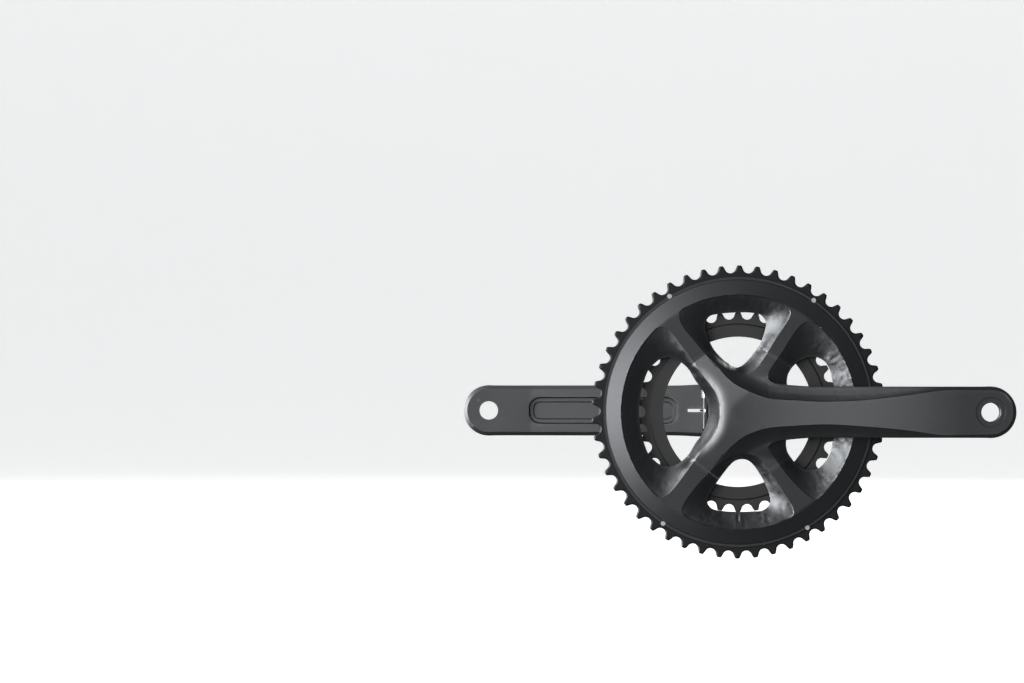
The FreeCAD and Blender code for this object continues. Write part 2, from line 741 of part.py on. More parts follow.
def tooth_gaps(body, ring, front, depth, turn):
    """Cuts one roller seat between two teeth and repeats it round the ring."""
    tip_radius = f"{ring}_tip_radius"
    flank_x = f"{ring}_pitch_radius - roller_seat * cos(flank_angle)"
    flank_y = "roller_seat * sin(flank_angle)"
    outer_half = f"{tip_radius} * sin(180 / {ring}_teeth) - tooth_tip / 2 + gap_flare"
    made = side_sketch(body, "ToothGapOutline", RIGHT, front, turn)
    outline(made, [
        (f"{tip_radius} + overcut", f"-({outer_half})"), (f"{tip_radius} + overcut", outer_half),
        (flank_x, flank_y), (flank_x, f"-{flank_y}", "roller_seat")])
    cut = pocket(body, "ToothGap", made, depth)
    ring_pattern(body, "ToothGaps", cut, made, f"{ring}_teeth")


def outer_chainring():
    """Large ring with a coned face, four inward arms that carry on from the spider, and blind threads."""
    body = new_body("outer_chainring")
    revolve(body, "Revolution", "Ring", RIGHT, [
        ("ring_back", "outer_tip_radius"), ("ring_front", "outer_tip_radius"),
        ("ring_front", "step_radius + step_slope"),
        ("ring_front + step_height", "step_radius"), ("ring_front + step_height", "face_radius"),
        ("ring_front + face_height", "face_radius"), ("ridge_height", "ridge_radius"),
        ("ring_back + window_edge_height", "window_radius"), ("ring_back", "window_radius"),
        ("ring_back", "window_radius + ring_wall"),
        ("ridge_height - ridge_wall", "ridge_radius - ridge_land"),
        ("ring_front + face_height - ring_wall", "face_radius - ring_wall"),
        ("ring_back", "face_radius - rim_foot")])
    for number, angle in enumerate(ARM_ANGLES):
        made = radial_sketch(body, f"ArmSection{number}", angle, "seam_radius + seam_gap")
        outline(made, [("-ring_back", "-arm_back_half"), ("-ridge_height", "-arm_face_half"),
                       ("-ridge_height", "arm_face_half"), ("-ring_back", "arm_back_half")])
        feature(body, "Pad", f"Arm{number}", made, Length="ridge_radius - seam_radius - arm_tip_gap")
        hole = side_sketch(body, f"ThreadOutline{number}", RIGHT, "thread_end + thread_clear", angle)
        round_hole(hole, "screw_radius + bolt_gap", "bolt_place")
        pocket(body, f"Thread{number}", hole, "bolt_thread_length + 2 * thread_clear")
    for number, angle in enumerate(SHIFT_PIN_ANGLES):
        start = "ring_front + step_height + overcut"
        hole = side_sketch(body, f"PinHoleOutline{number}", RIGHT, start, str(angle))
        round_hole(hole, "shift_pin_radius + bolt_gap", "shift_pin_place")
        pocket(body, f"PinHole{number}", hole, "tooth_thickness + step_height + 2 * overcut")
    hole = side_sketch(body, "DropPinHoleOutline", RIGHT, "waist_back")
    round_hole(hole, "drop_pin_radius + bolt_gap", "drop_pin_place")
    pocket(body, "DropPinHole", hole, "waist_back - ring_back")
    tooth_gaps(body, "outer", "ring_front + overcut", "tooth_thickness + 2 * overcut", "outer_gap_turn")


def inner_chainring():
    """Small ring with four tabs that clamp against the back of the spider."""
    body = new_body("inner_chainring")
    land = "inner_land_radius - 2 * inner_land_slope"
    revolve(body, "Revolution", "Ring", RIGHT, [
        ("inner_back", "inner_bore_radius"), ("inner_seat", "inner_bore_radius"),
        ("inner_seat", "inner_land_radius - inner_land_slope"),
        ("inner_back + tooth_thickness", "inner_land_radius"),
        ("inner_back + tooth_thickness", "inner_tip_radius"), ("inner_back", "inner_tip_radius")])
    for number, angle in enumerate(ARM_ANGLES):
        tab = side_sketch(body, f"TabOutline{number}", RIGHT, "inner_back", angle)
        outline(tab, [
            (land, "-tab_half_width"), (land, "tab_half_width"),
            ("bolt_place", "tab_half_width"),
            ("bolt_place - tab_half_width", "0", "tab_half_width"),
            ("bolt_place", "-tab_half_width", "tab_half_width")])
        pad(body, f"Tab{number}", tab, "inner_ring_thickness")
        hole = side_sketch(body, f"HoleOutline{number}", RIGHT, "inner_seat", angle)
        round_hole(hole, "sleeve_radius + bolt_gap", "bolt_place")
        pocket(body, f"Hole{number}", hole, "inner_ring_thickness")
    tooth_gaps(body, "inner", "inner_seat", "inner_ring_thickness + overcut", "0")


# ---- fasteners and small parts --------------------------------------------------------------


def chainring_bolts():
    """Four shouldered bolts from the frame side, through both rings' seats into the outer ring."""
    body = new_body("chainring_bolts")
    body.AllowCompound = True
    for number, angle in enumerate(ARM_ANGLES):
        steps = (
            ("Head", "inner_back - bolt_head_height", "sleeve_radius + bolt_head_lip", "bolt_head_height"),
            ("Sleeve", "inner_back", "sleeve_radius", "ring_back - inner_back"),
            ("Screw", "ring_back", "screw_radius", "bolt_thread_length"))
        for name, start, radius, length in steps:
            made = side_sketch(body, f"{name}Outline{number}", RIGHT, start, angle)
            round_hole(made, radius, "bolt_place")
            pad(body, f"{name}{number}", made, length)
        made = side_sketch(body, f"SocketOutline{number}", RIGHT, "inner_back - bolt_head_height", angle)
        hexagon(made, "bolt_socket", "bolt_place")
        feature(body, "Pocket", f"Socket{number}", made, Length="bolt_head_height * 2", Reversed=True)


def shift_pins():
    """Four steel pins through the outer ring that lift the chain, headed on the frame side."""
    body = new_body("shift_pins")
    body.AllowCompound = True
    for number, angle in enumerate(SHIFT_PIN_ANGLES):
        shank = side_sketch(body, f"ShankOutline{number}", RIGHT, "ring_back", str(angle))
        round_hole(shank, "shift_pin_radius", "shift_pin_place")
        pad(body, f"Shank{number}", shank, "tooth_thickness + step_height + shift_pin_proud")
        head = side_sketch(body, f"HeadOutline{number}", RIGHT, "ring_back - shift_pin_reach", str(angle))
        round_hole(head, "shift_pin_head_radius", "shift_pin_place")
        pad(body, f"Head{number}", head, "shift_pin_reach")


def chain_drop_pin():
    """Pin on the outer ring behind the right arm that stops a dropped chain jamming there."""
    body = new_body("chain_drop_pin")
    made = side_sketch(body, "PinOutline", RIGHT, "ring_back")
    round_hole(made, "drop_pin_radius", "drop_pin_place")
    pad(body, "Pin", made, "waist_back - drop_pin_clear - ring_back")


def clamp_bolts():
    """Two socket screws that pinch the left hub."""
    body = new_body("clamp_bolts")
    body.AllowCompound = True
    for number, place in enumerate(("clamp_inner", "clamp_outer")):
        shank = new_sketch(body, f"ShankOutline{number}", "XY_Plane", "-clamp_thread_length")
        round_hole(shank, "clamp_radius", "-clamp_station", place)
        length = "clamp_thread_length + clamp_grip + washer_thickness"
        feature(body, "Pad", f"Shank{number}", shank, Length=length)
        head = new_sketch(body, f"HeadOutline{number}", "XY_Plane", "clamp_grip + washer_thickness")
        round_hole(head, "clamp_head_radius", "-clamp_station", place)
        feature(body, "Pad", f"Head{number}", head, Length="clamp_head_height")
        socket = new_sketch(body, f"SocketOutline{number}", "XY_Plane",
                            "clamp_grip + washer_thickness + clamp_head_height")
        hexagon(socket, "clamp_socket", "-clamp_station", place)
        feature(body, "Pocket", f"Socket{number}", socket, Length="clamp_socket_depth")


def clamp_washers():
    """Washers under the two clamp bolt heads."""
    body = new_body("clamp_washers")
    body.AllowCompound = True
    for number, place in enumerate(("clamp_inner", "clamp_outer")):
        made = new_sketch(body, f"WasherOutline{number}", "XY_Plane", "clamp_grip")
        round_hole(made, "clamp_head_radius", "-clamp_station", place)
        round_hole(made, "clamp_radius + bolt_gap", "-clamp_station", place)
        feature(body, "Pad", f"Washer{number}", made, Length="washer_thickness")


def stopper_plate():
    """Plastic plate in the slot that swings on the outer clamp bolt, with a pin in the spindle's hole."""
    body = new_body("stopper_plate")
    along_x = "plate_reach / plate_length"
    along_y = "-plate_drop / plate_length"
    made = new_sketch(body, "ArmOutline", "XY_Plane", "-plate_thickness / 2")
    near = "clamp_radius + plate_pivot_gap + plate_arm_gap"
    far = "plate_length - plate_half_width"
    corners = []
    for reach, across in ((near, "-plate_half_width"), (far, "-plate_half_width"),
                          ("plate_length", "-plate_half_width / 2"), ("plate_length", "plate_half_width / 2"),
                          (far, "plate_half_width"), (near, "plate_half_width")):
        corners.append((f"-clamp_station + ({reach}) * {along_x} - ({across}) * {along_y}",
                        f"clamp_outer + ({reach}) * {along_y} + ({across}) * {along_x}"))
    outline(made, corners)
    feature(body, "Pad", "Arm", made, Length="plate_thickness")
    eye = new_sketch(body, "EyeOutline", "XY_Plane", "-plate_thickness / 2")
    round_hole(eye, "clamp_radius + plate_eye_wall", "-clamp_station", "clamp_outer")
    feature(body, "Pad", "Eye", eye, Length="plate_thickness")
    hole = new_sketch(body, "PivotOutline", "XY_Plane", "plate_thickness / 2")
    round_hole(hole, "clamp_radius + plate_pivot_gap", "-clamp_station", "clamp_outer")
    feature(body, "Pocket", "Pivot", hole, Length="plate_thickness")


def preload_cap():
    """Plastic screw cap that sets the bearing preload from the left end of the spindle."""
    body = new_body("preload_cap")
    plug = "spindle_bore_radius - bolt_gap"
    inner_end = "cap_seat - cap_plug_length"
    outer_face = "cap_seat + cap_flange_width"
    revolve(body, "Revolution", "Cap", LEFT, [
        (inner_end, "0"), (inner_end, plug), ("cap_seat", plug), ("cap_seat", "cap_flange_radius"),
        (outer_face, "cap_flange_radius"), (outer_face, "cap_socket_radius"),
        (f"{inner_end} + cap_floor", "cap_socket_radius"), (f"{inner_end} + cap_floor", "0")])
    lobe = side_sketch(body, "LobeOutline", LEFT, outer_face)
    round_hole(lobe, "cap_lobe_radius", "cap_socket_radius")
    cut = pocket(body, "Lobe", lobe, "cap_flange_width + cap_plug_length - cap_floor", LEFT)
    ring_pattern(body, "Lobes", cut, lobe, "cap_lobes")


def build():
    fill_sheet()
    for name, side in (("right", RIGHT), ("left", LEFT)):
        bearing_cup(f"{name}_bearing_cup", side)
        outer_race(f"{name}_bearing_outer_race", side)
        inner_race(f"{name}_bearing_inner_race", side)
        bearing_seals(f"{name}_bearing_seals", side)
        bearing_balls(f"{name}_bearing_balls", side)
        ball_cage(f"{name}_ball_cage", side)
        dust_cover(f"{name}_dust_cover", side)
    bearing_sleeve()
    crank_spindle()
    right_crank_arm()
    left_crank_arm()
    outer_chainring()
    inner_chainring()
    chainring_bolts()
    shift_pins()
    chain_drop_pin()
    clamp_bolts()
    clamp_washers()
    stopper_plate()
    preload_cap()
    doc.recompute()


def check():
    """Stops if any object failed or any sub-part is not a sound solid."""
    for item in doc.Objects:
        if "Invalid" in item.State or "Error" in item.State:
            raise RuntimeError(f"{item.Label} failed: {item.State}")
    for node in nodes:
        if node.Shape.isNull() or not node.Shape.isValid() or not node.Shape.Solids:
            raise RuntimeError(f"{node.Label} is not a sound solid")


def export():
    os.makedirs("parts", exist_ok=True)
    for node in nodes:
        node.Shape.exportStep(f"parts/{node.Label}.step")
        print(f"{node.Label}: {len(node.Shape.Solids)} solids, {node.Shape.Volume:.1f} mm3")


build()
check()
export()
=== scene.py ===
import math

import bpy
import numpy as np
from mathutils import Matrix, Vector, geometry, kdtree


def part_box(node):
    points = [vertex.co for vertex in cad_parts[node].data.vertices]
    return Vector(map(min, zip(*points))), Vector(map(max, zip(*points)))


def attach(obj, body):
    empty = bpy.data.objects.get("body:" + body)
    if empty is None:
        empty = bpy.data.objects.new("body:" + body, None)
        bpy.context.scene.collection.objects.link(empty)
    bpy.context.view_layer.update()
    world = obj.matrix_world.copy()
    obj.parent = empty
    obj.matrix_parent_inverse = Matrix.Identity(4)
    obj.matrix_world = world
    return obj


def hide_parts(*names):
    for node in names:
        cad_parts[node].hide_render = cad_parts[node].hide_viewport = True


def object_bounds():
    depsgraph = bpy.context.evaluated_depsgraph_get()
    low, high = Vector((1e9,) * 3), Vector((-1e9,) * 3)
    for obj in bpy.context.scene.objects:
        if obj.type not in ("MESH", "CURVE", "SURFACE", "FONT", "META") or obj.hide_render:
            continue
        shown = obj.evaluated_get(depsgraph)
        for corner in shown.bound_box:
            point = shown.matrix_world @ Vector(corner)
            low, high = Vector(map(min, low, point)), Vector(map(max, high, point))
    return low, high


bl_info = {
    "name": "Road crankset looks",
    "version": (1, 0, 0),
    "blender": (4, 5, 0),
    "location": "3D View > Sidebar > Crankset",
    "description": "Forged arms, chainrings, cups and finishes of a two-ring road crankset",
    "category": "Object",
}

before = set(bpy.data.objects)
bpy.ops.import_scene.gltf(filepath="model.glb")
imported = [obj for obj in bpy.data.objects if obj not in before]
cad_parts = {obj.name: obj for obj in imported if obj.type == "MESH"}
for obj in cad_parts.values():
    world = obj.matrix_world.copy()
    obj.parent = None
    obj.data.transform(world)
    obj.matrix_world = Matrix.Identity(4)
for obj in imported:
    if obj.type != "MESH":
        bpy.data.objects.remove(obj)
CAD_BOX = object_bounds()

# Lengths below are millimetres: x runs forward, z up, and "out" is the distance from the bicycle's
# middle plane along the crank axis. The drive side faces -Y.
MM = 0.001
DRIVE = -1.0
FAR = 1.0


def cad_box(node):
    """Lowest and highest corner of a node in millimetres."""
    low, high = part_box(node)
    return np.array(low) / MM, np.array(high) / MM


ARM_LOW, ARM_HIGH = cad_box("right_crank_arm")
RING_LOW, RING_HIGH = cad_box("outer_chainring")

EYE_RADIUS = 18.0
EYE_CREST = 15.4
EYE_X = ARM_HIGH[0] - EYE_RADIUS
LEFT_EYE_X = -EYE_X
PEDAL_BORE = 6.6
BORE_CHAMFER = 0.6
PEDAL_SEAT = 10.5
SEAT_DEPTH = 0.6
SEAT_WALL = 0.3
ARM_FRONT = -ARM_LOW[1] - 0.1
RING_BACK = -RING_HIGH[1]
RING_TOP = -RING_LOW[1]
SMALL_SEAT = -cad_box("inner_chainring")[0][1]

HUB_BACK = 46.2
HUB_FRONT = 62.5
LEFT_HUB_FRONT = 65.8
HUB_RADIUS = 20.5
SPINDLE_RADIUS = 12.0
BLADE_HALF = 17.9
BLADE_ROUND = 0.7
RISE_LENGTH = 155.0
BEVEL_WIDTH = 11.0
LEAST_WALL = 1.2

RIDGE_RADIUS = 82.3
WINDOW_RADIUS = 69.4
CREST_SHELF = 0.45
CREST_DROP = 0.3
LIP_HEIGHT = RING_BACK + 1.6
SPIDER_REACH = 60.0
SEAM_RADIUS = 46.0
SEAM_GAP = 0.05
REAR_ANGLE = 126.5
FRONT_ANGLE = 58.8
SEAM_ANGLES = (FRONT_ANGLE, REAR_ANGLE, -REAR_ANGLE, -FRONT_ANGLE)

BOLT_ANGLES = (57.5, 126.5, -126.5, -57.5)
BOLT_CIRCLE = 55.0
TAB_HALF = 8.0
TAB_CHAMFER = 0.4

TEETH = 50
TOOTH_TURN = -0.4
TIP_RADIUS = RING_HIGH[0] - 0.05
CHAIN_PITCH = 12.7
ROLLER_SEAT = 3.9
TOOTH_TIP = 4.2
TOOTH_TOP = RING_BACK + 2.1
TOOTH_BEVEL = 0.9
TOOTH_DROP = 0.62
HOLLOW_EDGE = 91.4
GROOVE_EDGE = 94.45
# Radius and height of the coned face, from the ridge down to the groove and the teeth.
RING_PROFILE = ((RIDGE_RADIUS, RING_TOP - 0.1), (92.1, 50.55), (92.55, 50.1), (92.75, 49.35),
                (GROOVE_EDGE, 49.35), (94.65, TOOTH_TOP))

CAP_SEAT = cad_box("preload_cap")[1][0] + 0.1
CAP_WALL = 0.2
CAP_DEPTH = 2.2
EDGE_CHAMFER = 0.5
RIM_CHAMFER = 2.6
CLAMP_SETBACK = 7.5
CLAMP_PITCH = 9.5
CLAMP_SLOT_HALF = 1.1
CLAMP_HOLE = 3.25
CLAMP_SEAT = 9.0
HUB_STEP = (21.0, 21.8)
CHANNEL_HALF = 9.6
CHANNEL_ROUND = 8.0
CHANNEL_NEAR = -40.0
CHANNEL_FAR = LEFT_EYE_X + 28.6
# Half width of each step of the channel at its top and at its foot, and its depth.
CHANNEL_STEPS = ((CHANNEL_HALF, 8.7, 3.4), (6.4, 5.7, 1.6))

ON_LINE = 1e-3
CREASE_ANGLE = 28.0


# ---- curves --------------------------------------------------------------------------------------


def arc(radius, start, end, count, centre=(0.0, 0.0)):
    """Points on a circle from one angle to another, in degrees."""
    angles = np.radians(np.linspace(start, end, count))
    return [(centre[0] + radius * math.cos(a), centre[1] + radius * math.sin(a)) for a in angles]


def circle(radius, count, centre=(0.0, 0.0)):
    """Closed line of evenly spaced points on a circle."""
    return np.array(arc(radius, 0.0, 360.0 - 360.0 / count, count, centre))


def respace(points, step, closed):
    """The same line with its points evenly spaced."""
    line = np.array(points, float)
    if closed:
        line = np.vstack([line, line[:1]])
    lengths = np.hypot(*np.diff(line, axis=0).T)
    along = np.concatenate([[0.0], np.cumsum(lengths)])
    count = max(2, int(round(along[-1] / step)) + 1)
    wanted = np.linspace(0.0, along[-1], count)
    even = np.column_stack([np.interp(wanted, along, line[:, 0]), np.interp(wanted, along, line[:, 1])])
    return even[:-1] if closed else even


def smooth_line(points, step=0.8, closed=False):
    """Round curve through a few points."""
    spots = np.array(points, float)
    count = len(spots)
    picked = []
    for number in range(count if closed else count - 1):
        if closed:
            p0, p1, p2, p3 = (spots[(number + shift) % count] for shift in (-1, 0, 1, 2))
        else:
            p1, p2 = spots[number], spots[number + 1]
            p0 = spots[number - 1] if number else 2 * p1 - p2
            p3 = spots[number + 2] if number + 2 < count else 2 * p2 - p1
        spans = ((p0, p1), (p1, p2), (p2, p3))
        k1, k2, k3 = (max(math.sqrt(np.linalg.norm(b - a)), 1e-6) for a, b in spans)
        m1 = (p2 - p1) + k2 * ((p1 - p0) / k1 - (p2 - p0) / (k1 + k2))
        m2 = (p2 - p1) + k2 * ((p3 - p2) / k3 - (p3 - p1) / (k2 + k3))
        for t in np.linspace(0.0, 1.0, 12, endpoint=False):
            h1 = 2 * t ** 3 - 3 * t ** 2 + 1
            h2 = t ** 3 - 2 * t ** 2 + t
            h3 = t ** 3 - t ** 2
            picked.append(h1 * p1 + h2 * m1 + (1 - h1) * p2 + h3 * m2)
    if not closed:
        picked.append(spots[-1])
    return respace(picked, step, closed)


def outline(points):
    """Round closed curve through a few points, running anticlockwise."""
    line = smooth_line(points, closed=True)
    ahead = np.roll(line, -1, axis=0)
    area = np.sum(line[:, 0] * ahead[:, 1] - line[:, 1] * ahead[:, 0])
    return line if area > 0 else line[::-1].copy()


def flipped(points):
    """The points mirrored about the x axis, in reverse order."""
    return [(x, -z) for x, z in reversed(points)]


def moved(line, distance, closed=True):
    """The line shifted to its left by a distance."""
    if closed:
        ahead, behind = np.roll(line, -1, axis=0), np.roll(line, 1, axis=0)
    else:
        ahead = np.vstack([line[1:], line[-1:]])
        behind = np.vstack([line[:1], line[:-1]])
    run = ahead - behind
    run /= np.maximum(np.hypot(*run.T), 1e-9)[:, None]
    return line + np.column_stack([-run[:, 1], run[:, 0]]) * distance


def inside(line, x, z):
    """Which points lie inside a closed line."""
    hit = np.zeros(len(x), bool)
    ends = np.roll(line, -1, axis=0)
    for (x0, z0), (x1, z1) in zip(line, ends):
        if z0 == z1:
            continue
        crossing = (z0 > z) != (z1 > z)
        hit ^= crossing & (x < (x1 - x0) * (z - z0) / (z1 - z0) + x0)
    return hit


def nearest(line, x, z, closed=True):
    """Distance to a line and the nearest spot on it."""
    best = np.full(len(x), 1e9)
    spot_x, spot_z = np.zeros(len(x)), np.zeros(len(x))
    ends = np.roll(line, -1, axis=0) if closed else line[1:]
    for (x0, z0), (x1, z1) in zip(line, ends):
        dx, dz = x1 - x0, z1 - z0
        share = np.clip(((x - x0) * dx + (z - z0) * dz) / max(dx * dx + dz * dz, 1e-12), 0, 1)
        near_x, near_z = x0 + share * dx, z0 + share * dz
        away = np.hypot(x - near_x, z - near_z)
        closer = away < best
        best[closer] = away[closer]
        spot_x[closer], spot_z[closer] = near_x[closer], near_z[closer]
    return best, spot_x, spot_z


def in_any(lines, x, z):
    """Which points lie inside any of the closed lines."""
    hit = np.zeros(len(x), bool)
    for line in lines:
        hit |= inside(line, x, z)
    return hit


def on_lines(lines, x, z):
    """Which points lie on any of the lines."""
    hit = np.zeros(len(x), bool)
    for line, closed in lines:
        hit |= nearest(line, x, z, closed)[0] < ON_LINE
    return hit


def ease(value):
    """Smooth step from 0 to 1."""
    share = np.clip(value, 0.0, 1.0)
    return share * share * (3 - 2 * share)


# ---- outlines of the spider, the windows and the arm ---------------------------------------------

LEFT_SCOOP_EDGE = [(-14.3, 7.0), (-16.4, 13.2), (-25.0, 25.0), (-40.0, 46.0), (-46.5, 54.2), (-50.4, 57.8),
                   (-55.4, 59.0)]
LEFT_SCOOP = outline([(-13.6, 0.0)] + LEFT_SCOOP_EDGE + arc(RIDGE_RADIUS, 137, 223, 15)
                         + flipped(LEFT_SCOOP_EDGE))
LEFT_OPENING_EDGE = [(-21.1, 5.0), (-25.0, 15.0), (-30.0, 22.0), (-34.3, 29.3), (-38.6, 33.6), (-43.5, 37.0),
                     (-49.7, 38.3), (-55.0, 36.7), (-59.3, 33.3)]
LEFT_OPENING = outline([(-20.7, 0.0)] + LEFT_OPENING_EDGE + arc(WINDOW_RADIUS, 155, 205, 9)
                           + flipped(LEFT_OPENING_EDGE))
TOP_SCOOP = outline(arc(RIDGE_RADIUS, 76, 110, 7) + [
    (-36.4, 73.6), (-40.4, 70.4), (-41.0, 66.0), (-38.6, 60.0), (-30.0, 49.3), (-21.2, 38.9), (-16.4, 34.8),
    (-5.7, 29.3), (0.0, 27.9), (5.7, 27.0), (10.4, 28.9), (15.0, 34.3), (25.7, 51.4), (34.6, 65.2),
    (35.9, 69.3), (34.6, 72.4), (27.5, 77.0)])
TOP_OPENING = outline([
    (0.0, 69.6), (-13.6, 68.6), (-20.0, 67.0), (-22.9, 62.9), (-23.3, 58.6), (-20.7, 50.7), (-17.0, 43.6),
    (-12.0, 37.9), (-6.4, 33.6), (-1.0, 31.1), (1.8, 32.0), (5.0, 34.3), (10.7, 40.7), (15.4, 47.9),
    (19.0, 58.5), (19.3, 63.0), (15.7, 67.9), (10.0, 69.3)])
LOW_SCOOP = outline(arc(RIDGE_RADIUS, -109, -70, 8) + [
    (34.5, -74.9), (38.0, -71.3), (37.6, -67.0), (30.0, -54.5), (20.0, -39.5), (15.0, -33.2), (10.0, -30.5),
    (5.0, -29.5), (-2.0, -30.4), (-9.0, -33.2), (-16.0, -38.4), (-22.0, -44.2), (-30.0, -53.0),
    (-37.6, -63.6), (-39.3, -69.4), (-36.0, -74.0)])
LOW_OPENING = outline([
    (0.0, -69.9), (10.0, -69.6), (17.0, -68.9), (21.6, -65.0), (22.2, -60.0), (17.6, -48.0), (11.4, -38.0),
    (7.3, -34.2), (2.6, -33.0), (-2.4, -34.3), (-6.5, -38.0), (-15.5, -50.0), (-20.6, -58.0), (-21.6, -63.5),
    (-18.5, -67.6), (-10.0, -69.4)])
RIGHT_SCOOP = outline([
    (20.8, 0.0), (20.8, 14.0), (20.8, 24.0), (21.9, 28.6), (30.0, 40.7), (40.7, 57.1), (45.0, 61.4),
    (50.0, 62.9)] + arc(RIDGE_RADIUS, 46, -44, 15) + [
    (54.0, -60.6), (48.0, -57.6), (35.0, -44.6), (24.0, -29.6), (21.2, -25.0), (20.8, -14.0)])
RIGHT_OPENING = outline([
    (34.4, 0.0), (34.4, 12.0), (34.2, 24.0), (36.4, 29.4), (40.0, 33.6), (45.0, 37.1), (50.0, 38.6),
    (55.7, 38.0), (60.7, 35.0), (64.2, 29.4)] + arc(WINDOW_RADIUS, 18, -18, 8) + [
    (64.4, -29.4), (60.0, -36.0), (55.0, -40.0), (49.5, -40.7), (43.6, -39.0), (38.0, -33.5), (33.8, -26.0),
    (34.0, -12.0)])
WINDOWS = ((LEFT_SCOOP, LEFT_OPENING), (TOP_SCOOP, TOP_OPENING), (LOW_SCOOP, LOW_OPENING),
           (RIGHT_SCOOP, RIGHT_OPENING))
SCOOPS, OPENINGS = zip(*WINDOWS)

RIDGE_START = -22.4
UPPER_RIDGE = smooth_line([
    (RIDGE_START, 39.6), (-15.0, 31.6), (-5.0, 21.1), (5.0, 15.4), (20.0, 9.8), (40.0, 8.1), (60.0, 7.2),
    (80.0, 7.9), (100.0, 9.6), (120.0, 12.2), (140.0, 15.0), (146.0, EYE_CREST), (152.0, EYE_CREST),
    (EYE_X - 3.0, EYE_CREST)] + arc(EYE_CREST, 90, 0, 7, (EYE_X, 0.0)))
LOWER_RIDGE = smooth_line([
    (RIDGE_START, -44.0), (-17.0, -37.9), (-11.4, -30.7), (-5.0, -23.6), (5.0, -16.1), (20.0, -11.1),
    (40.0, -9.3), (60.0, -8.4), (80.0, -9.3), (100.0, -10.8), (120.0, -12.9), (140.0, -15.6), (146.0, -15.9),
    (152.0, -15.6), (EYE_X - 3.0, -EYE_CREST)] + arc(EYE_CREST, -90, 0, 7, (EYE_X, 0.0)))
BLADE_EDGE = smooth_line([
    (20.8, 24.0), (23.6, 21.4), (30.0, 19.6), (40.0, 18.6), (54.0, BLADE_HALF), (100.0, BLADE_HALF),
    (EYE_X - 4.0, BLADE_HALF)] + arc(EYE_RADIUS, 90, -90, 19, (EYE_X, 0.0)) + [
    (EYE_X - 4.0, -BLADE_HALF), (100.0, -BLADE_HALF), (54.0, -BLADE_HALF), (40.0, -18.8), (30.0, -20.2),
    (23.6, -22.4), (20.8, -25.0)])
BLADE_AREA = np.vstack([BLADE_EDGE, [(10.0, -12.0), (10.0, 12.0)]])

LEFT_OUTLINE_EDGE = [(-26.0, 18.5), (-40.0, BLADE_HALF), (-100.0, BLADE_HALF), (LEFT_EYE_X + 4.0, BLADE_HALF)]
LEFT_OUTLINE = outline(arc(HUB_RADIUS, -112, 112, 41) + LEFT_OUTLINE_EDGE
                       + arc(EYE_RADIUS, 90, 270, 19, (LEFT_EYE_X, 0.0)) + flipped(LEFT_OUTLINE_EDGE))
LEFT_RIDGE = smooth_line([
    (4.0, 18.8), (-8.0, 17.9), (-18.0, 16.9), (-25.0, 15.9), (-32.0, 13.2), (-42.0, 10.4), (-60.0, 8.9),
    (-80.0, 9.2), (-100.0, 10.4), (-120.0, 12.4), (-140.0, 14.9), (-148.0, EYE_CREST),
    (LEFT_EYE_X + 3.0, EYE_CREST)] + arc(EYE_CREST, 90, 180, 7, (LEFT_EYE_X, 0.0)))


def seam(angle, shift):
    """Straight joint across one spider arm, where the spider ends and the ring begins."""
    turn = math.radians(angle)
    along, across = (math.cos(turn), math.sin(turn)), (-math.sin(turn), math.cos(turn))
    reach = SEAM_RADIUS + shift
    ends = [(reach * along[0] + side * across[0], reach * along[1] + side * across[1])
            for side in (-19.0, 19.0)]
    return respace(ends, 0.8, False)


def arm_reach(x, z):
    """How far each point lies out along the spider arm nearest to it."""
    turns = [math.radians(angle) for angle in SEAM_ANGLES]
    return np.max([x * math.cos(turn) + z * math.sin(turn) for turn in turns], axis=0)


def in_spider(x, z):
    """Which points lie on the spider's side of all four joints."""
    return (np.hypot(x, z) < SPIDER_REACH) & (arm_reach(x, z) < SEAM_RADIUS)


def past_seams(x, z):
    """Which points lie on the ring's side of the joints."""
    radius = np.hypot(x, z)
    beyond = (radius > SPIDER_REACH) | (arm_reach(x, z) > SEAM_RADIUS + SEAM_GAP)
    return beyond & (radius > SEAM_RADIUS - 8.0)


def window_lines():
    """Crest, opening and shelf of every window, for the triangles to follow."""
    lines = []
    for scoop, opening in WINDOWS:
        lines += [(scoop, True), (opening, True), (moved(scoop, -CREST_SHELF), True)]
    return lines


def pedal_eye_lines(middle):
    """Bore, chamfer and seat of a pedal hole, for the triangles to follow."""
    circles = ((PEDAL_BORE, 48), (PEDAL_BORE + BORE_CHAMFER, 48),
               (PEDAL_SEAT - SEAT_WALL, 72), (PEDAL_SEAT, 72))
    return [(circle(radius, count, (middle, 0.0)), True) for radius, count in circles]


# ---- heights of the forged faces -----------------------------------------------------------------


def plateau(x, z):
    """The raised face: level at the hub, rising to the pedal and falling along the two rear arms."""
    rise = (ARM_FRONT - HUB_FRONT) * ease(x / RISE_LENGTH)
    turn = math.radians(REAR_ANGLE)
    along = x * math.cos(turn) + np.sqrt(z * z + 30.0) * math.sin(turn)
    share = np.clip((along - 7.0) / (SEAM_RADIUS - 7.0), 0.0, 1.0)
    return HUB_FRONT + rise - (HUB_FRONT - RING_TOP) * share ** 1.35


def blade_half(x):
    """Half the width of the blade at each station."""
    return np.interp(x, [20.8, 23.6, 30.0, 40.0, 54.0], [24.0, 21.6, 19.7, 18.6, BLADE_HALF])


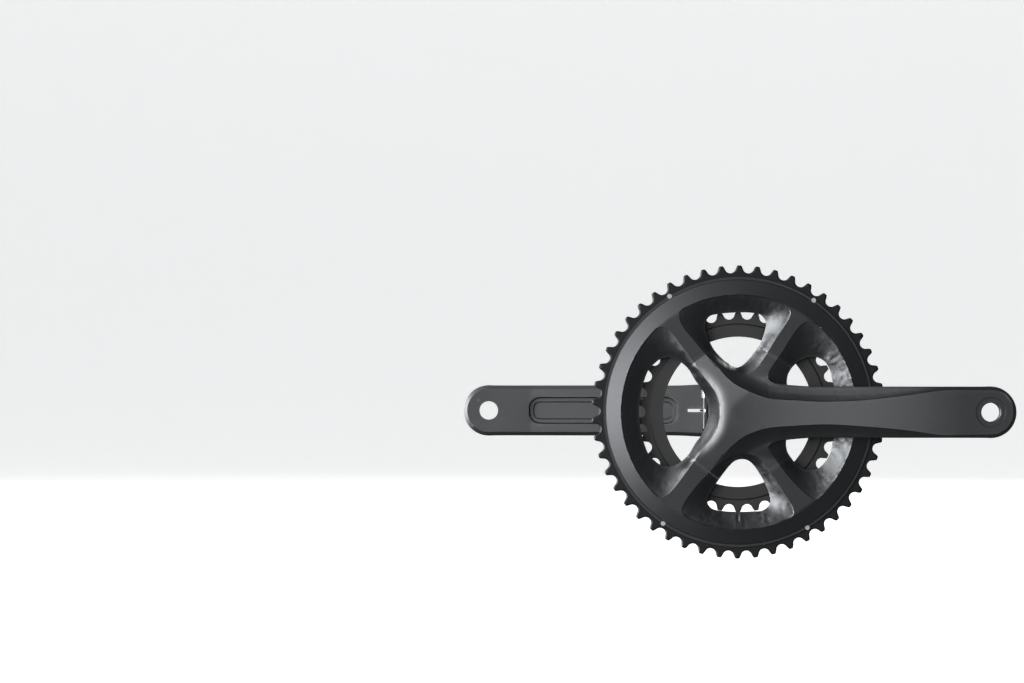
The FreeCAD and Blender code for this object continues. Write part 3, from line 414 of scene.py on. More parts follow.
def level(x, z):
    """Every face that isn't in a window's scoop: plateau, bevels, arms and the ring's ridge."""
    height = plateau(x, z)
    rear, _, _ = nearest(LEFT_SCOOP, x, z)
    rear, _, _ = nearest(LEFT_SCOOP, x, z)
    roll = np.clip(1.0 - rear / 7.0, 0.0, 1.0) ** 2 * ease((34.0 - np.abs(z)) / 16.0)
    height = height - 1.5 * np.where(x < 0.0, roll, 0.0)
    for line, sign, power in ((UPPER_RIDGE, 1.0, 2.0), (LOWER_RIDGE, -1.0, 1.5)):
        ridge = np.interp(x, line[:, 0], line[:, 1] * sign)
        beyond = (z * sign > ridge) & (x > RIDGE_START) & (x < EYE_X)
        beyond |= (x >= EYE_X) & (np.hypot(x - EYE_X, z) > EYE_CREST) & (z * sign >= 0)
        if beyond.any():
            height[beyond] = bevel(x[beyond], z[beyond], ridge[beyond], line, power)
    return height


def bevel(x, z, ridge, line, power):
    """Heights of the points that fall away from a ridge to the edge of the blade or of the spider arm."""
    away, near_x, near_z = nearest(line, x, z, False)
    width = np.where(x > 30.0, np.minimum(BEVEL_WIDTH, blade_half(x) - ridge), BEVEL_WIDTH)
    width = np.where(x >= EYE_X, EYE_RADIUS - EYE_CREST, np.maximum(width, 2.2))
    top = plateau(near_x, near_z)
    drop = np.interp(x, [0.0, 60.0, 100.0, 145.0, EYE_X], [8.0, 6.6, 5.2, 3.2, 2.8])
    edge = plateau(x, np.zeros(len(x))) - drop
    on_blade = ease((33.0 - np.abs(z)) / 11.0)
    low = RING_TOP + (edge - RING_TOP) * on_blade
    share = np.clip(1.0 - away / width, 0.0, 1.0) ** power
    return low + (top - low) * share


def scooped(x, z, height):
    """Lowers the points in a window's scoop from its crest down to the opening."""
    done = height.copy()
    for scoop, opening in WINDOWS:
        within = inside(scoop, x, z)
        crest_away, crest_x, crest_z = nearest(scoop, x, z)
        edge = ~within & (crest_away < CREST_SHELF)
        done[edge] -= CREST_DROP * (1.0 - crest_away[edge] / CREST_SHELF)
        within |= crest_away < ON_LINE
        if not within.any():
            continue
        px, pz = x[within], z[within]
        crest = level(crest_x[within], crest_z[within])
        on_ring = np.hypot(crest_x[within], crest_z[within]) > SPIDER_REACH
        crest = np.where(on_ring, RING_TOP, crest) - CREST_DROP
        opening_away, _, _ = nearest(opening, px, pz)
        opening_away = np.where(inside(opening, px, pz), 0.0, opening_away)
        share = crest_away[within] / np.maximum(crest_away[within] + opening_away, 1e-6)
        steep = 1.0 - ease((np.abs(pz) - 14.0) / 14.0)
        curve = share ** np.where((px < 0.0) & (px > -30.0), 0.85 - 0.45 * steep, 0.85)
        done[within] = crest + (LIP_HEIGHT - crest) * curve
    return done


def eye_relief(x, z, middle):
    """How far the seat and the chamfer of a pedal hole lie below the face about them."""
    away = np.hypot(x - middle, z)
    seat = SEAT_DEPTH * np.clip((PEDAL_SEAT - away) / SEAT_WALL, 0.0, 1.0)
    return seat + BORE_CHAMFER * np.clip((PEDAL_BORE + BORE_CHAMFER - away) / BORE_CHAMFER, 0.0, 1.0)


# ---- plates with sculpted faces ------------------------------------------------------------------


def lattice(low, high, spacing):
    """Points of a triangular lattice over a box."""
    rows = []
    row_gap = spacing * math.sqrt(0.75)
    for number in range(int((high[1] - low[1]) / row_gap) + 1):
        start = low[0] + (spacing / 2 if number % 2 else 0.0)
        xs = np.arange(start, high[0], spacing)
        rows.append(np.column_stack([xs, np.full(len(xs), low[1] + number * row_gap)]))
    return np.vstack(rows)


def triangulate(lines, keep, low, high, spacing):
    """Triangles over the kept area, with every line as a row of edges."""
    spots, edges = [], []
    for line, closed in lines:
        first = len(spots)
        spots.extend(map(tuple, line))
        edges.extend((first + n, first + n + 1) for n in range(len(line) - 1))
        if closed:
            edges.append((first + len(line) - 1, first))
    tree = kdtree.KDTree(len(spots))
    for number, (x, z) in enumerate(spots):
        tree.insert((x, z, 0.0), number)
    tree.balance()
    fill = lattice(low, high, spacing)
    fill = fill[keep(fill[:, 0], fill[:, 1])]
    clear = spacing * 0.62
    spots.extend((x, z) for x, z in map(tuple, fill) if tree.find((x, z, 0.0))[2] > clear)
    points, _, faces, *_ = geometry.delaunay_2d_cdt([Vector(p) for p in spots], edges, [], 0, 1e-4)
    points = np.array([tuple(p) for p in points])
    faces = np.array([f for f in faces if len(f) == 3])
    centres = points[faces].mean(axis=1)
    faces = faces[keep(centres[:, 0], centres[:, 1])]
    corners = points[faces]
    sides = corners[:, 1:] - corners[:, :1]
    area = sides[:, 0, 0] * sides[:, 1, 1] - sides[:, 0, 1] * sides[:, 1, 0]
    faces = faces[np.abs(area) > 1e-7]
    area = area[np.abs(area) > 1e-7]
    faces[area < 0] = faces[area < 0][:, ::-1]
    used = np.unique(faces)
    renumber = np.full(len(points), -1)
    renumber[used] = np.arange(len(used))
    return points[used], renumber[faces]


def relax(heights, faces, fixed, rounds):
    """Evens out the heights of the free points and leaves the fixed ones where they are."""
    pairs = np.vstack([faces[:, [0, 1]], faces[:, [1, 2]], faces[:, [2, 0]]])
    pairs = np.unique(np.sort(pairs, axis=1), axis=0)
    count = np.bincount(pairs.ravel(), minlength=len(heights))
    for _ in range(rounds):
        total = np.bincount(pairs[:, 0], heights[pairs[:, 1]], len(heights))
        total += np.bincount(pairs[:, 1], heights[pairs[:, 0]], len(heights))
        even = total / np.maximum(count, 1)
        heights = np.where(fixed, heights, heights * 0.4 + even * 0.6)
    return heights


def trimmed(points, faces, heights, keep):
    """Only the triangles whose middles are kept."""
    centres = points[faces].mean(axis=1)
    faces = faces[keep(centres[:, 0], centres[:, 1])]
    used = np.unique(faces)
    renumber = np.full(len(points), -1)
    renumber[used] = np.arange(len(used))
    return points[used], renumber[faces], heights[used]


def plate_shell(points, faces, front, back, side):
    """Closed shell between a front and a back face over the same triangles."""
    count = len(points)
    vertices = [(x * MM, side * out * MM, z * MM) for (x, z), out in zip(points, front)]
    vertices += [(x * MM, side * out * MM, z * MM) for (x, z), out in zip(points, back)]
    outward = faces if side < 0 else faces[:, ::-1]
    shell = [tuple(face) for face in outward.tolist()]
    shell += [(c + count, b + count, a + count) for a, b, c in outward.tolist()]
    seen = {}
    for a, b, c in outward.tolist():
        for start, end in ((a, b), (b, c), (c, a)):
            seen[(start, end)] = True
    for start, end in seen:
        if (end, start) not in seen:
            shell.append((end, start, start + count, end + count))
    return vertices, shell


def shaded(mesh):
    """Smooth shading with the real edges kept sharp."""
    mesh.shade_smooth()
    mesh.set_sharp_from_angle(angle=math.radians(CREASE_ANGLE))


def new_piece(name, vertices, faces, materials, body, slot, second=None):
    """Mesh object that rides on a body; faces whose corners all pass "second" take the second material."""
    mesh = bpy.data.meshes.new(name)
    mesh.from_pydata(vertices, [], faces)
    mesh.validate()
    shaded(mesh)
    for material in materials:
        mesh.materials.append(finish_of(material))
    if second:
        for face in mesh.polygons:
            face.material_index = int(all(second(mesh.vertices[n].co / MM) for n in face.vertices))
    piece = bpy.data.objects.new(name, mesh)
    bpy.context.scene.collection.objects.link(piece)
    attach(piece, body)
    return piece


def merged(parts):
    """One list of vertices and faces from several."""
    vertices, faces = [], []
    for part_vertices, part_faces in parts:
        first = len(vertices)
        vertices += part_vertices
        faces += [tuple(index + first for index in face) for face in part_faces]
    return vertices, faces


def toothed_line(teeth, tip_radius, turn):
    """Outline of a chainring: round roller seats between straight-sided teeth."""
    pitch_radius = CHAIN_PITCH / (2 * math.sin(math.pi / teeth))
    seat_angle = math.radians(75.0)
    tip_half = tip_radius * math.sin(math.pi / teeth) - TOOTH_TIP / 2 + 0.15
    seat = [(pitch_radius - ROLLER_SEAT * math.cos(a), ROLLER_SEAT * math.sin(a))
            for a in np.linspace(-seat_angle, seat_angle, 11)]
    corner = [(tip_radius, 1.0), (tip_radius - 0.25, 0.5), (tip_radius - 0.8, 0.1)]
    gap = [(reach, -tip_half - side) for reach, side in corner] + seat
    gap += [(reach, tip_half + side) for reach, side in reversed(corner)]
    line = []
    for number in range(teeth):
        angle = 2 * math.pi * number / teeth + math.radians(turn)
        along, across = math.cos(angle), math.sin(angle)
        line += [(x * along - y * across, x * across + y * along) for x, y in gap]
    return np.array(line)


# ---- finishes ------------------------------------------------------------------------------------


def noise(tree, place, scale, detail):
    """Noise texture in a piece's own coordinates."""
    node = tree.nodes.new("ShaderNodeTexNoise")
    node.inputs["Scale"].default_value = scale
    node.inputs["Detail"].default_value = detail
    tree.links.new(place.outputs["Object"], node.inputs["Vector"])
    return node


def edge_wear_and_painted_highlight(tree, colour, wear_and_highlight):
    """The colour, lightened where the surface turns outward: partly rubbed edge wear, partly a painted
    highlight on ridges and rims.
    """
    shape = tree.nodes.new("ShaderNodeNewGeometry")
    edge = tree.nodes.new("ShaderNodeMapRange")
    edge.inputs["From Min"].default_value = 0.52
    edge.inputs["From Max"].default_value = 0.60
    edge.inputs["To Max"].default_value = wear_and_highlight
    tree.links.new(shape.outputs["Pointiness"], edge.inputs["Value"])
    worn_and_highlit = tree.nodes.new("ShaderNodeMix")
    worn_and_highlit.data_type = "RGBA"
    worn_and_highlit.inputs["B"].default_value = (0.5, 0.5, 0.5, 1.0)
    tree.links.new(edge.outputs["Result"], worn_and_highlit.inputs["Factor"])
    tree.links.new(colour, worn_and_highlit.inputs["A"])
    return worn_and_highlit.outputs["Result"]


def finish(name, colour, metallic, roughness, grain, grain_depth, patch=0.12, wear_and_highlight=0.0, sheen=0.0):
    """Node material with fine grain, slow variation of tone and gloss, and convex edges lightened, partly as
    wear and partly as a painted highlight.
    """
    material = bpy.data.materials.new(name)
    material.use_nodes = True
    tree = material.node_tree
    nodes, links = tree.nodes, tree.links
    shader = nodes["Principled BSDF"]
    shader.inputs["Metallic"].default_value = metallic
    shader.inputs["Sheen Weight"].default_value = sheen
    place = nodes.new("ShaderNodeTexCoord")
    slow = noise(tree, place, 28.0, 5.0)
    fine = noise(tree, place, grain, 2.0)
    tone = nodes.new("ShaderNodeMix")
    tone.data_type = "RGBA"
    tone.inputs["A"].default_value = (*[c * (1 - patch) for c in colour], 1.0)
    tone.inputs["B"].default_value = (*[min(1.0, c * (1 + patch)) for c in colour], 1.0)
    links.new(slow.outputs["Fac"], tone.inputs["Factor"])
    last = tone.outputs["Result"]
    # Convex edges are lightened: partly edge wear, partly a painted highlight.
    if wear_and_highlight:
        last = edge_wear_and_painted_highlight(tree, last, wear_and_highlight)
    links.new(last, shader.inputs["Base Color"])
    gloss = nodes.new("ShaderNodeMapRange")
    gloss.inputs["To Min"].default_value = roughness * 0.88
    gloss.inputs["To Max"].default_value = min(1.0, roughness * 1.14)
    links.new(slow.outputs["Fac"], gloss.inputs["Value"])
    links.new(gloss.outputs["Result"], shader.inputs["Roughness"])
    bump = nodes.new("ShaderNodeBump")
    bump.inputs["Strength"].default_value = 0.35
    bump.inputs["Distance"].default_value = grain_depth * MM
    links.new(fine.outputs["Fac"], bump.inputs["Height"])
    links.new(bump.outputs["Normal"], shader.inputs["Normal"])
    return material


def finish_of(name):
    """A finish that has already been made."""
    return bpy.data.materials[name]


def dress(name, *nodes):
    """Gives carried-over pieces their finish."""
    for node in nodes:
        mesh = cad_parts[node].data
        mesh.materials.clear()
        mesh.materials.append(finish_of(name))


# ---- settings ------------------------------------------------------------------------------------


class CranksetSizes(bpy.types.PropertyGroup):
    """How finely the forged faces are divided."""

    arm_spacing: bpy.props.FloatProperty(
        name="Arm spacing", description="Distance between surface points on the arms",
        default=0.0011, min=0.0005, max=0.004, precision=4, unit="LENGTH")
    ring_spacing: bpy.props.FloatProperty(
        name="Ring spacing", description="Distance between surface points on the large ring",
        default=0.0014, min=0.0005, max=0.004, precision=4, unit="LENGTH")


class CranksetColours(bpy.types.PropertyGroup):
    """Colours of the anodised and moulded pieces."""

    arm: bpy.props.FloatVectorProperty(
        name="Arms", description="Anodised grey of both arms", subtype="COLOR",
        default=(0.115, 0.118, 0.122))
    ring: bpy.props.FloatVectorProperty(
        name="Large ring", description="Black of the large ring", subtype="COLOR",
        default=(0.095, 0.098, 0.102))
    small_ring: bpy.props.FloatVectorProperty(
        name="Small ring", description="Grey of the small ring", subtype="COLOR",
        default=(0.07, 0.07, 0.071))
    steel: bpy.props.FloatVectorProperty(
        name="Steel", description="Bright steel of the pins", subtype="COLOR",
        default=(0.62, 0.62, 0.61))


class StageSettings(bpy.types.PropertyGroup):
    """Camera and backdrop."""

    lens: bpy.props.FloatProperty(
        name="Lens", description="Focal length in millimetres", default=251.1, unit="CAMERA")
    distance: bpy.props.FloatProperty(
        name="Camera distance", description="From the camera to the chainrings", default=5.0, unit="LENGTH")
    backdrop: bpy.props.FloatProperty(
        name="Backdrop", description="How strongly the paper backdrop glows", default=0.56,
        min=0.0, max=2.0, subtype="FACTOR")
    aim: bpy.props.FloatVectorProperty(
        name="Aim", description="Camera place across and up from the crank axis", size=2,
        default=(-0.1584, 0.0493), unit="LENGTH")


# ---- finishes made and given ---------------------------------------------------------------------


class CRANKSET_OT_finishes(bpy.types.Operator):
    """Makes every finish"""

    bl_idname = "crankset.finishes"
    bl_label = "Finishes"

    def execute(self, context):
        colours = context.scene.crankset_colours
        # Where given, the last value lightens convex edges, partly as wear and partly as a painted highlight.
        finish("arm_anodised", colours.arm, 1.0, 0.43, 5200.0, 0.02, 0.05, wear_and_highlight=0.15)
        finish("ring_satin", colours.ring, 1.0, 0.42, 5200.0, 0.02, 0.05, wear_and_highlight=0.15)
        finish("ring_dark", [c * 0.45 for c in colours.ring], 1.0, 0.46, 5200.0, 0.02)
        finish("small_ring_matt", colours.small_ring, 0.9, 0.5, 5200.0, 0.02)
        finish("cup_black", (0.05, 0.05, 0.052), 0.9, 0.38, 4200.0, 0.02, wear_and_highlight=0.05)
        finish("ground_steel", (0.5, 0.5, 0.51), 1.0, 0.22, 3000.0, 0.01)
        finish("race_steel", (0.62, 0.62, 0.63), 1.0, 0.12, 3000.0, 0.004)
        finish("bolt_steel", (0.3, 0.3, 0.31), 1.0, 0.32, 3600.0, 0.02, wear_and_highlight=0.2)
        finish("pin_steel", colours.steel, 1.0, 0.24, 3600.0, 0.01)
        finish("seal_rubber", (0.02, 0.02, 0.022), 0.0, 0.62, 2600.0, 0.03, sheen=0.2)
        finish("black_plastic", (0.03, 0.03, 0.032), 0.0, 0.45, 2400.0, 0.04)
        finish("cage_plastic", (0.25, 0.16, 0.09), 0.0, 0.5, 2400.0, 0.03)
        return {"FINISHED"}


class CRANKSET_OT_cups(bpy.types.Operator):
    """Finishes the two cups and the sleeve between them"""

    bl_idname = "crankset.cups"
    bl_label = "Cups and sleeve"

    def execute(self, context):
        dress("cup_black", "right_bearing_cup", "left_bearing_cup")
        dress("black_plastic", "bearing_sleeve")
        return {"FINISHED"}


class CRANKSET_OT_bearings(bpy.types.Operator):
    """Finishes both bearings and their covers"""

    bl_idname = "crankset.bearings"
    bl_label = "Bearings"

    def execute(self, context):
        for side in ("right", "left"):
            dress("race_steel", f"{side}_bearing_outer_race", f"{side}_bearing_inner_race",
                  f"{side}_bearing_balls")
            dress("cage_plastic", f"{side}_ball_cage")
            dress("seal_rubber", f"{side}_bearing_seals")
            dress("black_plastic", f"{side}_dust_cover")
        return {"FINISHED"}


class CRANKSET_OT_spindle(bpy.types.Operator):
    """Finishes the spindle"""

    bl_idname = "crankset.spindle"
    bl_label = "Spindle"

    def execute(self, context):
        dress("ground_steel", "crank_spindle")
        return {"FINISHED"}


class CRANKSET_OT_small_ring(bpy.types.Operator):
    """Finishes the small ring"""

    bl_idname = "crankset.small_ring"
    bl_label = "Small ring"

    def execute(self, context):
        dress("small_ring_matt", "inner_chainring")
        return {"FINISHED"}


class CRANKSET_OT_fasteners(bpy.types.Operator):
    """Finishes the bolts, the pins, the preload cap and the stopper plate"""

    bl_idname = "crankset.fasteners"
    bl_label = "Fasteners"

    def execute(self, context):
        dress("bolt_steel", "chainring_bolts", "clamp_bolts", "clamp_washers")
        dress("pin_steel", "shift_pins", "chain_drop_pin")
        dress("black_plastic", "preload_cap", "stopper_plate")
        return {"FINISHED"}


# ---- right arm -----------------------------------------------------------------------------------


def on_right_blade(x, z):
    """Which points belong to the right blade, its edge included."""
    return inside(BLADE_AREA, x, z) | (nearest(BLADE_EDGE, x, z, False)[0] < ON_LINE)


def in_right_arm(x, z):
    """Which points are metal: the blade, and round the windows out to the ring's ridge."""
    solid = (np.hypot(x, z) < RIDGE_RADIUS) & ~in_any(OPENINGS, x, z)
    solid |= inside(BLADE_AREA, x, z)
    return solid & (np.hypot(x - EYE_X, z) > PEDAL_BORE - 0.02)


def without_ring(x, z):
    """Which points the arm keeps once the ring's share is cut away at the joints."""
    return in_spider(x, z) | inside(BLADE_AREA, x, z)


def right_arm_lines():
    """Ridges, edges, pedal hole and windows of the right arm, for the triangles to follow."""
    lines = [(UPPER_RIDGE, False), (LOWER_RIDGE, False), (BLADE_EDGE, False)]
    lines += [(moved(UPPER_RIDGE, shift, False), False) for shift in (0.7, 1.4)]
    lines += [(moved(LOWER_RIDGE, -shift, False), False) for shift in (0.7, 1.4)]
    lines += [(moved(BLADE_EDGE, shift, False), False) for shift in (-BLADE_ROUND, -0.25, 0.35)]
    return lines + pedal_eye_lines(EYE_X) + window_lines()


def right_front(points, faces, lines):
    """Outer face of the right arm, evened out in the scoops."""
    x, z = points.T
    on_blade = on_right_blade(x, z)
    front = level(x, z)
    front = np.where(on_blade, front, scooped(x, z, front))
    rim = nearest(BLADE_EDGE, x, z, False)[0]
    front -= np.where(on_blade, BLADE_ROUND * np.clip(1.0 - rim / BLADE_ROUND, 0.0, 1.0) ** 2, 0.0)
    fixed = on_lines(lines, x, z)
    front = relax(front, faces, fixed, 3)
    return relax(front, faces, fixed | ~in_any(SCOOPS, x, z) | on_blade, 60)


def right_back(x, z):
    """Frame side of the right arm: flat hub, spider underside and a channelled blade."""
    hub = HUB_BACK - (HUB_BACK - SMALL_SEAT) * ease((np.hypot(x, z) - 26.0) / 16.0)
    blade = np.interp(x, [34.0, 60.0, EYE_X - 30.0, EYE_X], [52.6, 55.65, 60.6, 61.0])
    away = np.hypot(x - np.clip(x, 46.0, EYE_X - 36.0), z)
    blade = blade + 4.0 * ease((CHANNEL_HALF - away) / 1.6)
    on_blade = ease((x - 33.2) / 0.8) * (np.abs(z) < 25.0)
    return hub + (blade - hub) * on_blade


def spider_tab(angle):
    """Flat tab behind the chainring's arm, with a rounded end about its bolt."""
    along, across = math.cos(math.radians(angle)), math.sin(math.radians(angle))
    line = arc(TAB_HALF, -90, 90, 25, (BOLT_CIRCLE, 0.0))
    line = np.array([(SEAM_RADIUS, -TAB_HALF)] + line + [(SEAM_RADIUS, TAB_HALF)])
    rows = ((SMALL_SEAT, TAB_CHAMFER), (SMALL_SEAT + TAB_CHAMFER, 0.0), (RING_BACK - 0.05, 0.0))
    vertices = []
    for out, inset in rows:
        for u, v in moved(line, inset):
            x, z = u * along - v * across, u * across + v * along
            vertices.append((x * MM, DRIVE * out * MM, z * MM))
    count = len(line)
    faces = [tuple(range(count)), tuple(reversed(range(2 * count, 3 * count)))]
    for low in (0, count):
        for n in range(count):
            after = (n + 1) % count
            faces.append((low + n, low + count + n, low + count + after, low + after))
    return vertices, faces


class CRANKSET_OT_right_arm(bpy.types.Operator):
    """Builds the right arm with its four-arm spider"""

    bl_idname = "crankset.right_arm"
    bl_label = "Right arm"

    def execute(self, context):
        spacing = context.scene.crankset_sizes.arm_spacing / MM
        lines = right_arm_lines()
        seams = [(seam(angle, 0.0), False) for angle in SEAM_ANGLES]
        low, high = (-RIDGE_RADIUS, -RIDGE_RADIUS), (EYE_X + 20.0, RIDGE_RADIUS)
        points, faces = triangulate(lines + seams, in_right_arm, low, high, spacing)
        front = right_front(points, faces, lines)
        points, faces, front = trimmed(points, faces, front, without_ring)
        x, z = points.T
        front -= eye_relief(x, z, EYE_X)
        back = np.minimum(right_back(x, z), front - LEAST_WALL)
        parts = [plate_shell(points, faces, front, back, DRIVE)]
        parts += [spider_tab(angle) for angle in BOLT_ANGLES]
        piece = new_piece("right_arm_forging", *merged(parts), ("arm_anodised",), "crank", "crank_alloy")
        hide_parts("right_crank_arm")
        return {"FINISHED"}


# ---- left arm ------------------------------------------------------------------------------------


def stadium(near, far, half, corner):
    """Closed slot outline along the x axis with rounded corners."""
    line = arc(corner, 90, 180, 6, (far + corner, half - corner))
    line += arc(corner, 180, 270, 6, (far + corner, corner - half))
    line += arc(corner, 270, 360, 6, (near - corner, corner - half))
    line += arc(corner, 0, 90, 6, (near - corner, half - corner))
    return respace(line, 0.8, True)


def pinch_bore():
    """Spindle hole with the slot that opens it towards the blade."""
    mouth = math.degrees(math.asin(CLAMP_SLOT_HALF / SPINDLE_RADIUS))
    slot_end = -(SPINDLE_RADIUS + CLAMP_SETBACK + 13.5)
    line = arc(SPINDLE_RADIUS, -180 + mouth, 180 - mouth, 60)
    line += [(slot_end, CLAMP_SLOT_HALF), (slot_end, -CLAMP_SLOT_HALF)]
    return respace(line, 0.7, True)


PINCH_BORE = pinch_bore()


def in_left_arm(x, z):
    """Which points are metal in the left arm."""
    solid = inside(LEFT_OUTLINE, x, z) & ~inside(PINCH_BORE, x, z)
    return solid & (np.hypot(x - LEFT_EYE_X, z) > PEDAL_BORE - 0.02)


def left_arm_lines():
    """Edges, ridges, holes and channel of the left arm, for the triangles to follow."""
    lines = [(LEFT_OUTLINE, True), (moved(LEFT_OUTLINE, EDGE_CHAMFER), True),
             (moved(LEFT_OUTLINE, RIM_CHAMFER), True), (PINCH_BORE, True)]
    lines += [(LEFT_RIDGE, False), (LEFT_RIDGE * (1, -1), False)] + pedal_eye_lines(LEFT_EYE_X)
    lines += [(circle(radius, 72), True) for radius in (CAP_SEAT, CAP_SEAT + CAP_WALL)]
    for half, foot, _ in CHANNEL_STEPS:
        for size in (half, foot):
            inset = CHANNEL_HALF - size
            line = stadium(CHANNEL_NEAR - inset, CHANNEL_FAR + inset, size, CHANNEL_ROUND - inset)
            lines.append((line, True))
    return lines + [(np.array([(-place, -18.6), (-place, 18.6)]), False) for place in HUB_STEP]


def left_front(x, z):
    """Outer face of the left arm: raised between two ridges, bevelled to its edges."""
    top = LEFT_HUB_FRONT + (ARM_FRONT - LEFT_HUB_FRONT) * ease(-x / RISE_LENGTH)
    away = nearest(LEFT_RIDGE, x, np.abs(z), False)[0]
    ridge = np.interp(-x, -LEFT_RIDGE[:, 0], LEFT_RIDGE[:, 1])
    beyond = (np.abs(z) > ridge) & (x < 4.0) & (x > LEFT_EYE_X)
    beyond |= (x <= LEFT_EYE_X) & (np.hypot(x - LEFT_EYE_X, z) > EYE_CREST)
    width = np.where(x > LEFT_EYE_X, np.maximum(BLADE_HALF - ridge, 1.4), EYE_RADIUS - EYE_CREST)
    drop = np.interp(-x, [20.0, 34.0, 60.0, 100.0, 145.0, EYE_X], [1.2, 4.6, 6.4, 5.2, 3.2, 2.8])
    share = np.clip(away / width, 0.0, 1.0)
    return top - np.where(beyond, drop * (1.0 - (1.0 - share) ** 1.8), 0.0)


def left_back(x, z, rim):
    """Frame side of the left arm: stepped channel between flat lands and a chamfered rim."""
    back = np.interp(-x, [*HUB_STEP, 60.0, EYE_X - 30.0, EYE_X], [HUB_BACK, 50.3, 55.65, 60.6, 61.0])
    for half, foot, depth in CHANNEL_STEPS:
        inset = CHANNEL_HALF - half
        near, far, round_off = CHANNEL_NEAR - inset, CHANNEL_FAR + inset, CHANNEL_ROUND - inset
        side_x = np.abs(x - (near + far) / 2) - (near - far) / 2 + round_off
        side_z = np.abs(z) - half + round_off
        corner = np.hypot(np.maximum(side_x, 0.0), np.maximum(side_z, 0.0))
        inward = round_off - corner - np.minimum(np.maximum(side_x, side_z), 0.0)
        back = back + depth * ease(inward / (half - foot))
    blade_rim = 1.5 * np.clip(1.0 - rim / RIM_CHAMFER, 0.0, 1.0)
    hub_rim = EDGE_CHAMFER * np.clip(1.0 - rim / EDGE_CHAMFER, 0.0, 1.0)
    return back + np.where(x < -21.5, blade_rim, hub_rim)


def clamp_holes():
    """Seat and hole of each clamp bolt: its place, a radius and the two ends."""
    low, high = cad_box("clamp_bolts")
    middle = (high[1] + low[1]) / 2
    seat_radius = (high[1] - low[1]) / 2 - CLAMP_PITCH / 2 + 0.25
    station = -(SPINDLE_RADIUS + CLAMP_SETBACK)
    holes = []
    for out in (middle - CLAMP_PITCH / 2, middle + CLAMP_PITCH / 2):
        holes.append((station, out, seat_radius, CLAMP_SEAT, 26.0))
        holes.append((station, out, CLAMP_HOLE, -14.0, CLAMP_SEAT + 0.5))
    return holes


def round_bar(x, y, radius, bottom, top):
    """Upright round bar to cut with."""
    spots = circle(radius, 48, (x, y))
    vertices = [(px * MM, py * MM, height * MM) for height in (bottom, top) for px, py in spots]
    count = len(spots)
    faces = [tuple(reversed(range(count))), tuple(range(count, 2 * count))]
    faces += [(n, (n + 1) % count, count + (n + 1) % count, count + n) for n in range(count)]
    mesh = bpy.data.meshes.new("round_bar")
    mesh.from_pydata(vertices, [], faces)
    bar = bpy.data.objects.new("round_bar", mesh)
    bpy.context.scene.collection.objects.link(bar)
    return bar


def drilled(piece, holes):
    """Cuts upright round holes out of a piece, one after another."""
    for hole in holes:
        bar = round_bar(*hole)
        cut = piece.modifiers.new("cut", "BOOLEAN")
        cut.object = bar
        cut.operation = "DIFFERENCE"
        cut.solver = "EXACT"
        bpy.context.view_layer.update()
        whole = piece.evaluated_get(bpy.context.evaluated_depsgraph_get())
        carved = bpy.data.meshes.new_from_object(whole)
        piece.modifiers.clear()
        piece.data = carved
        bar_mesh = bar.data
        bpy.data.objects.remove(bar)
        bpy.data.meshes.remove(bar_mesh)
    shaded(piece.data)


class CRANKSET_OT_left_arm(bpy.types.Operator):
    """Builds the left arm with its pinch hub"""

    bl_idname = "crankset.left_arm"
    bl_label = "Left arm"

    def execute(self, context):
        spacing = context.scene.crankset_sizes.arm_spacing / MM
        lines = left_arm_lines()
        low, high = (LEFT_EYE_X - 20.0, -24.0), (24.0, 24.0)
        points, faces = triangulate(lines, in_left_arm, low, high, spacing)
        x, z = points.T
        rim = nearest(LEFT_OUTLINE, x, z)[0]
        front = left_front(x, z) - EDGE_CHAMFER * np.clip(1.0 - rim / EDGE_CHAMFER, 0.0, 1.0)
        front = relax(front, faces, on_lines(lines, x, z), 3)
        front -= eye_relief(x, z, LEFT_EYE_X)
        front -= CAP_DEPTH * np.clip((CAP_SEAT + CAP_WALL - np.hypot(x, z)) / CAP_WALL, 0.0, 1.0)
        shell = plate_shell(points, faces, front, left_back(x, z, rim), FAR)
        piece = new_piece("left_arm_forging", *shell, ("arm_anodised",), "crank", "crank_alloy")
        drilled(piece, clamp_holes())
        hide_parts("left_crank_arm")
        return {"FINISHED"}


# ---- large ring ----------------------------------------------------------------------------------


def ring_lines(teeth):
    """Teeth, steps and windows of the large ring, for the triangles to follow."""
    radii = [radius for radius, _ in RING_PROFILE] + [HOLLOW_EDGE - step for step in range(4)]
    lines = [(teeth, True), (moved(teeth, TOOTH_BEVEL), True)]
    lines += [(circle(radius, 600), True) for radius in radii + [RIDGE_RADIUS - CREST_SHELF]]
    return lines + window_lines()


def ring_guides():
    """Joints and circles that give the triangles in the scoops an even run."""
    guides = [(seam(angle, SEAM_GAP), False) for angle in SEAM_ANGLES]
    return guides + [(circle(radius, 360), True) for radius in (78.4, 76.0, 73.5, 71.0)]


def ring_crest(points, faces, lines):
    """Outer face of the large ring out to its ridge, evened out in the scoops."""
    x, z = points.T
    front = scooped(x, z, np.full(len(x), RING_TOP))
    fixed = on_lines(lines, x, z) | (np.hypot(x, z) > RIDGE_RADIUS) | ~in_any(SCOOPS, x, z)
    return relax(front, faces, fixed, 60)


def ring_sides(points, front, teeth):
    """Both faces of the large ring: cone, groove and bevelled teeth before a hollowed back."""
    x, z = points.T
    radius = np.hypot(x, z)
    cone = np.interp(radius, *zip(*RING_PROFILE))
    front = np.where(radius >= RIDGE_RADIUS - ON_LINE, cone, front)
    drop = TOOTH_DROP * np.clip(1.0 - nearest(teeth, x, z)[0] / TOOTH_BEVEL, 0.0, 1.0)
    front -= drop
    hollow = ease((radius - WINDOW_RADIUS) / 9.0) * ease((HOLLOW_EDGE - radius) / 3.0)
    spare = front - RING_BACK - 2.6
    back = RING_BACK + drop + (spare + np.sqrt(spare * spare + 0.8)) / 2.0 * hollow
    return front, back


def past_cone(spot):
    """Whether a spot lies in the groove's edge or on the teeth."""
    return math.hypot(spot.x, spot.z) > GROOVE_EDGE - 0.05


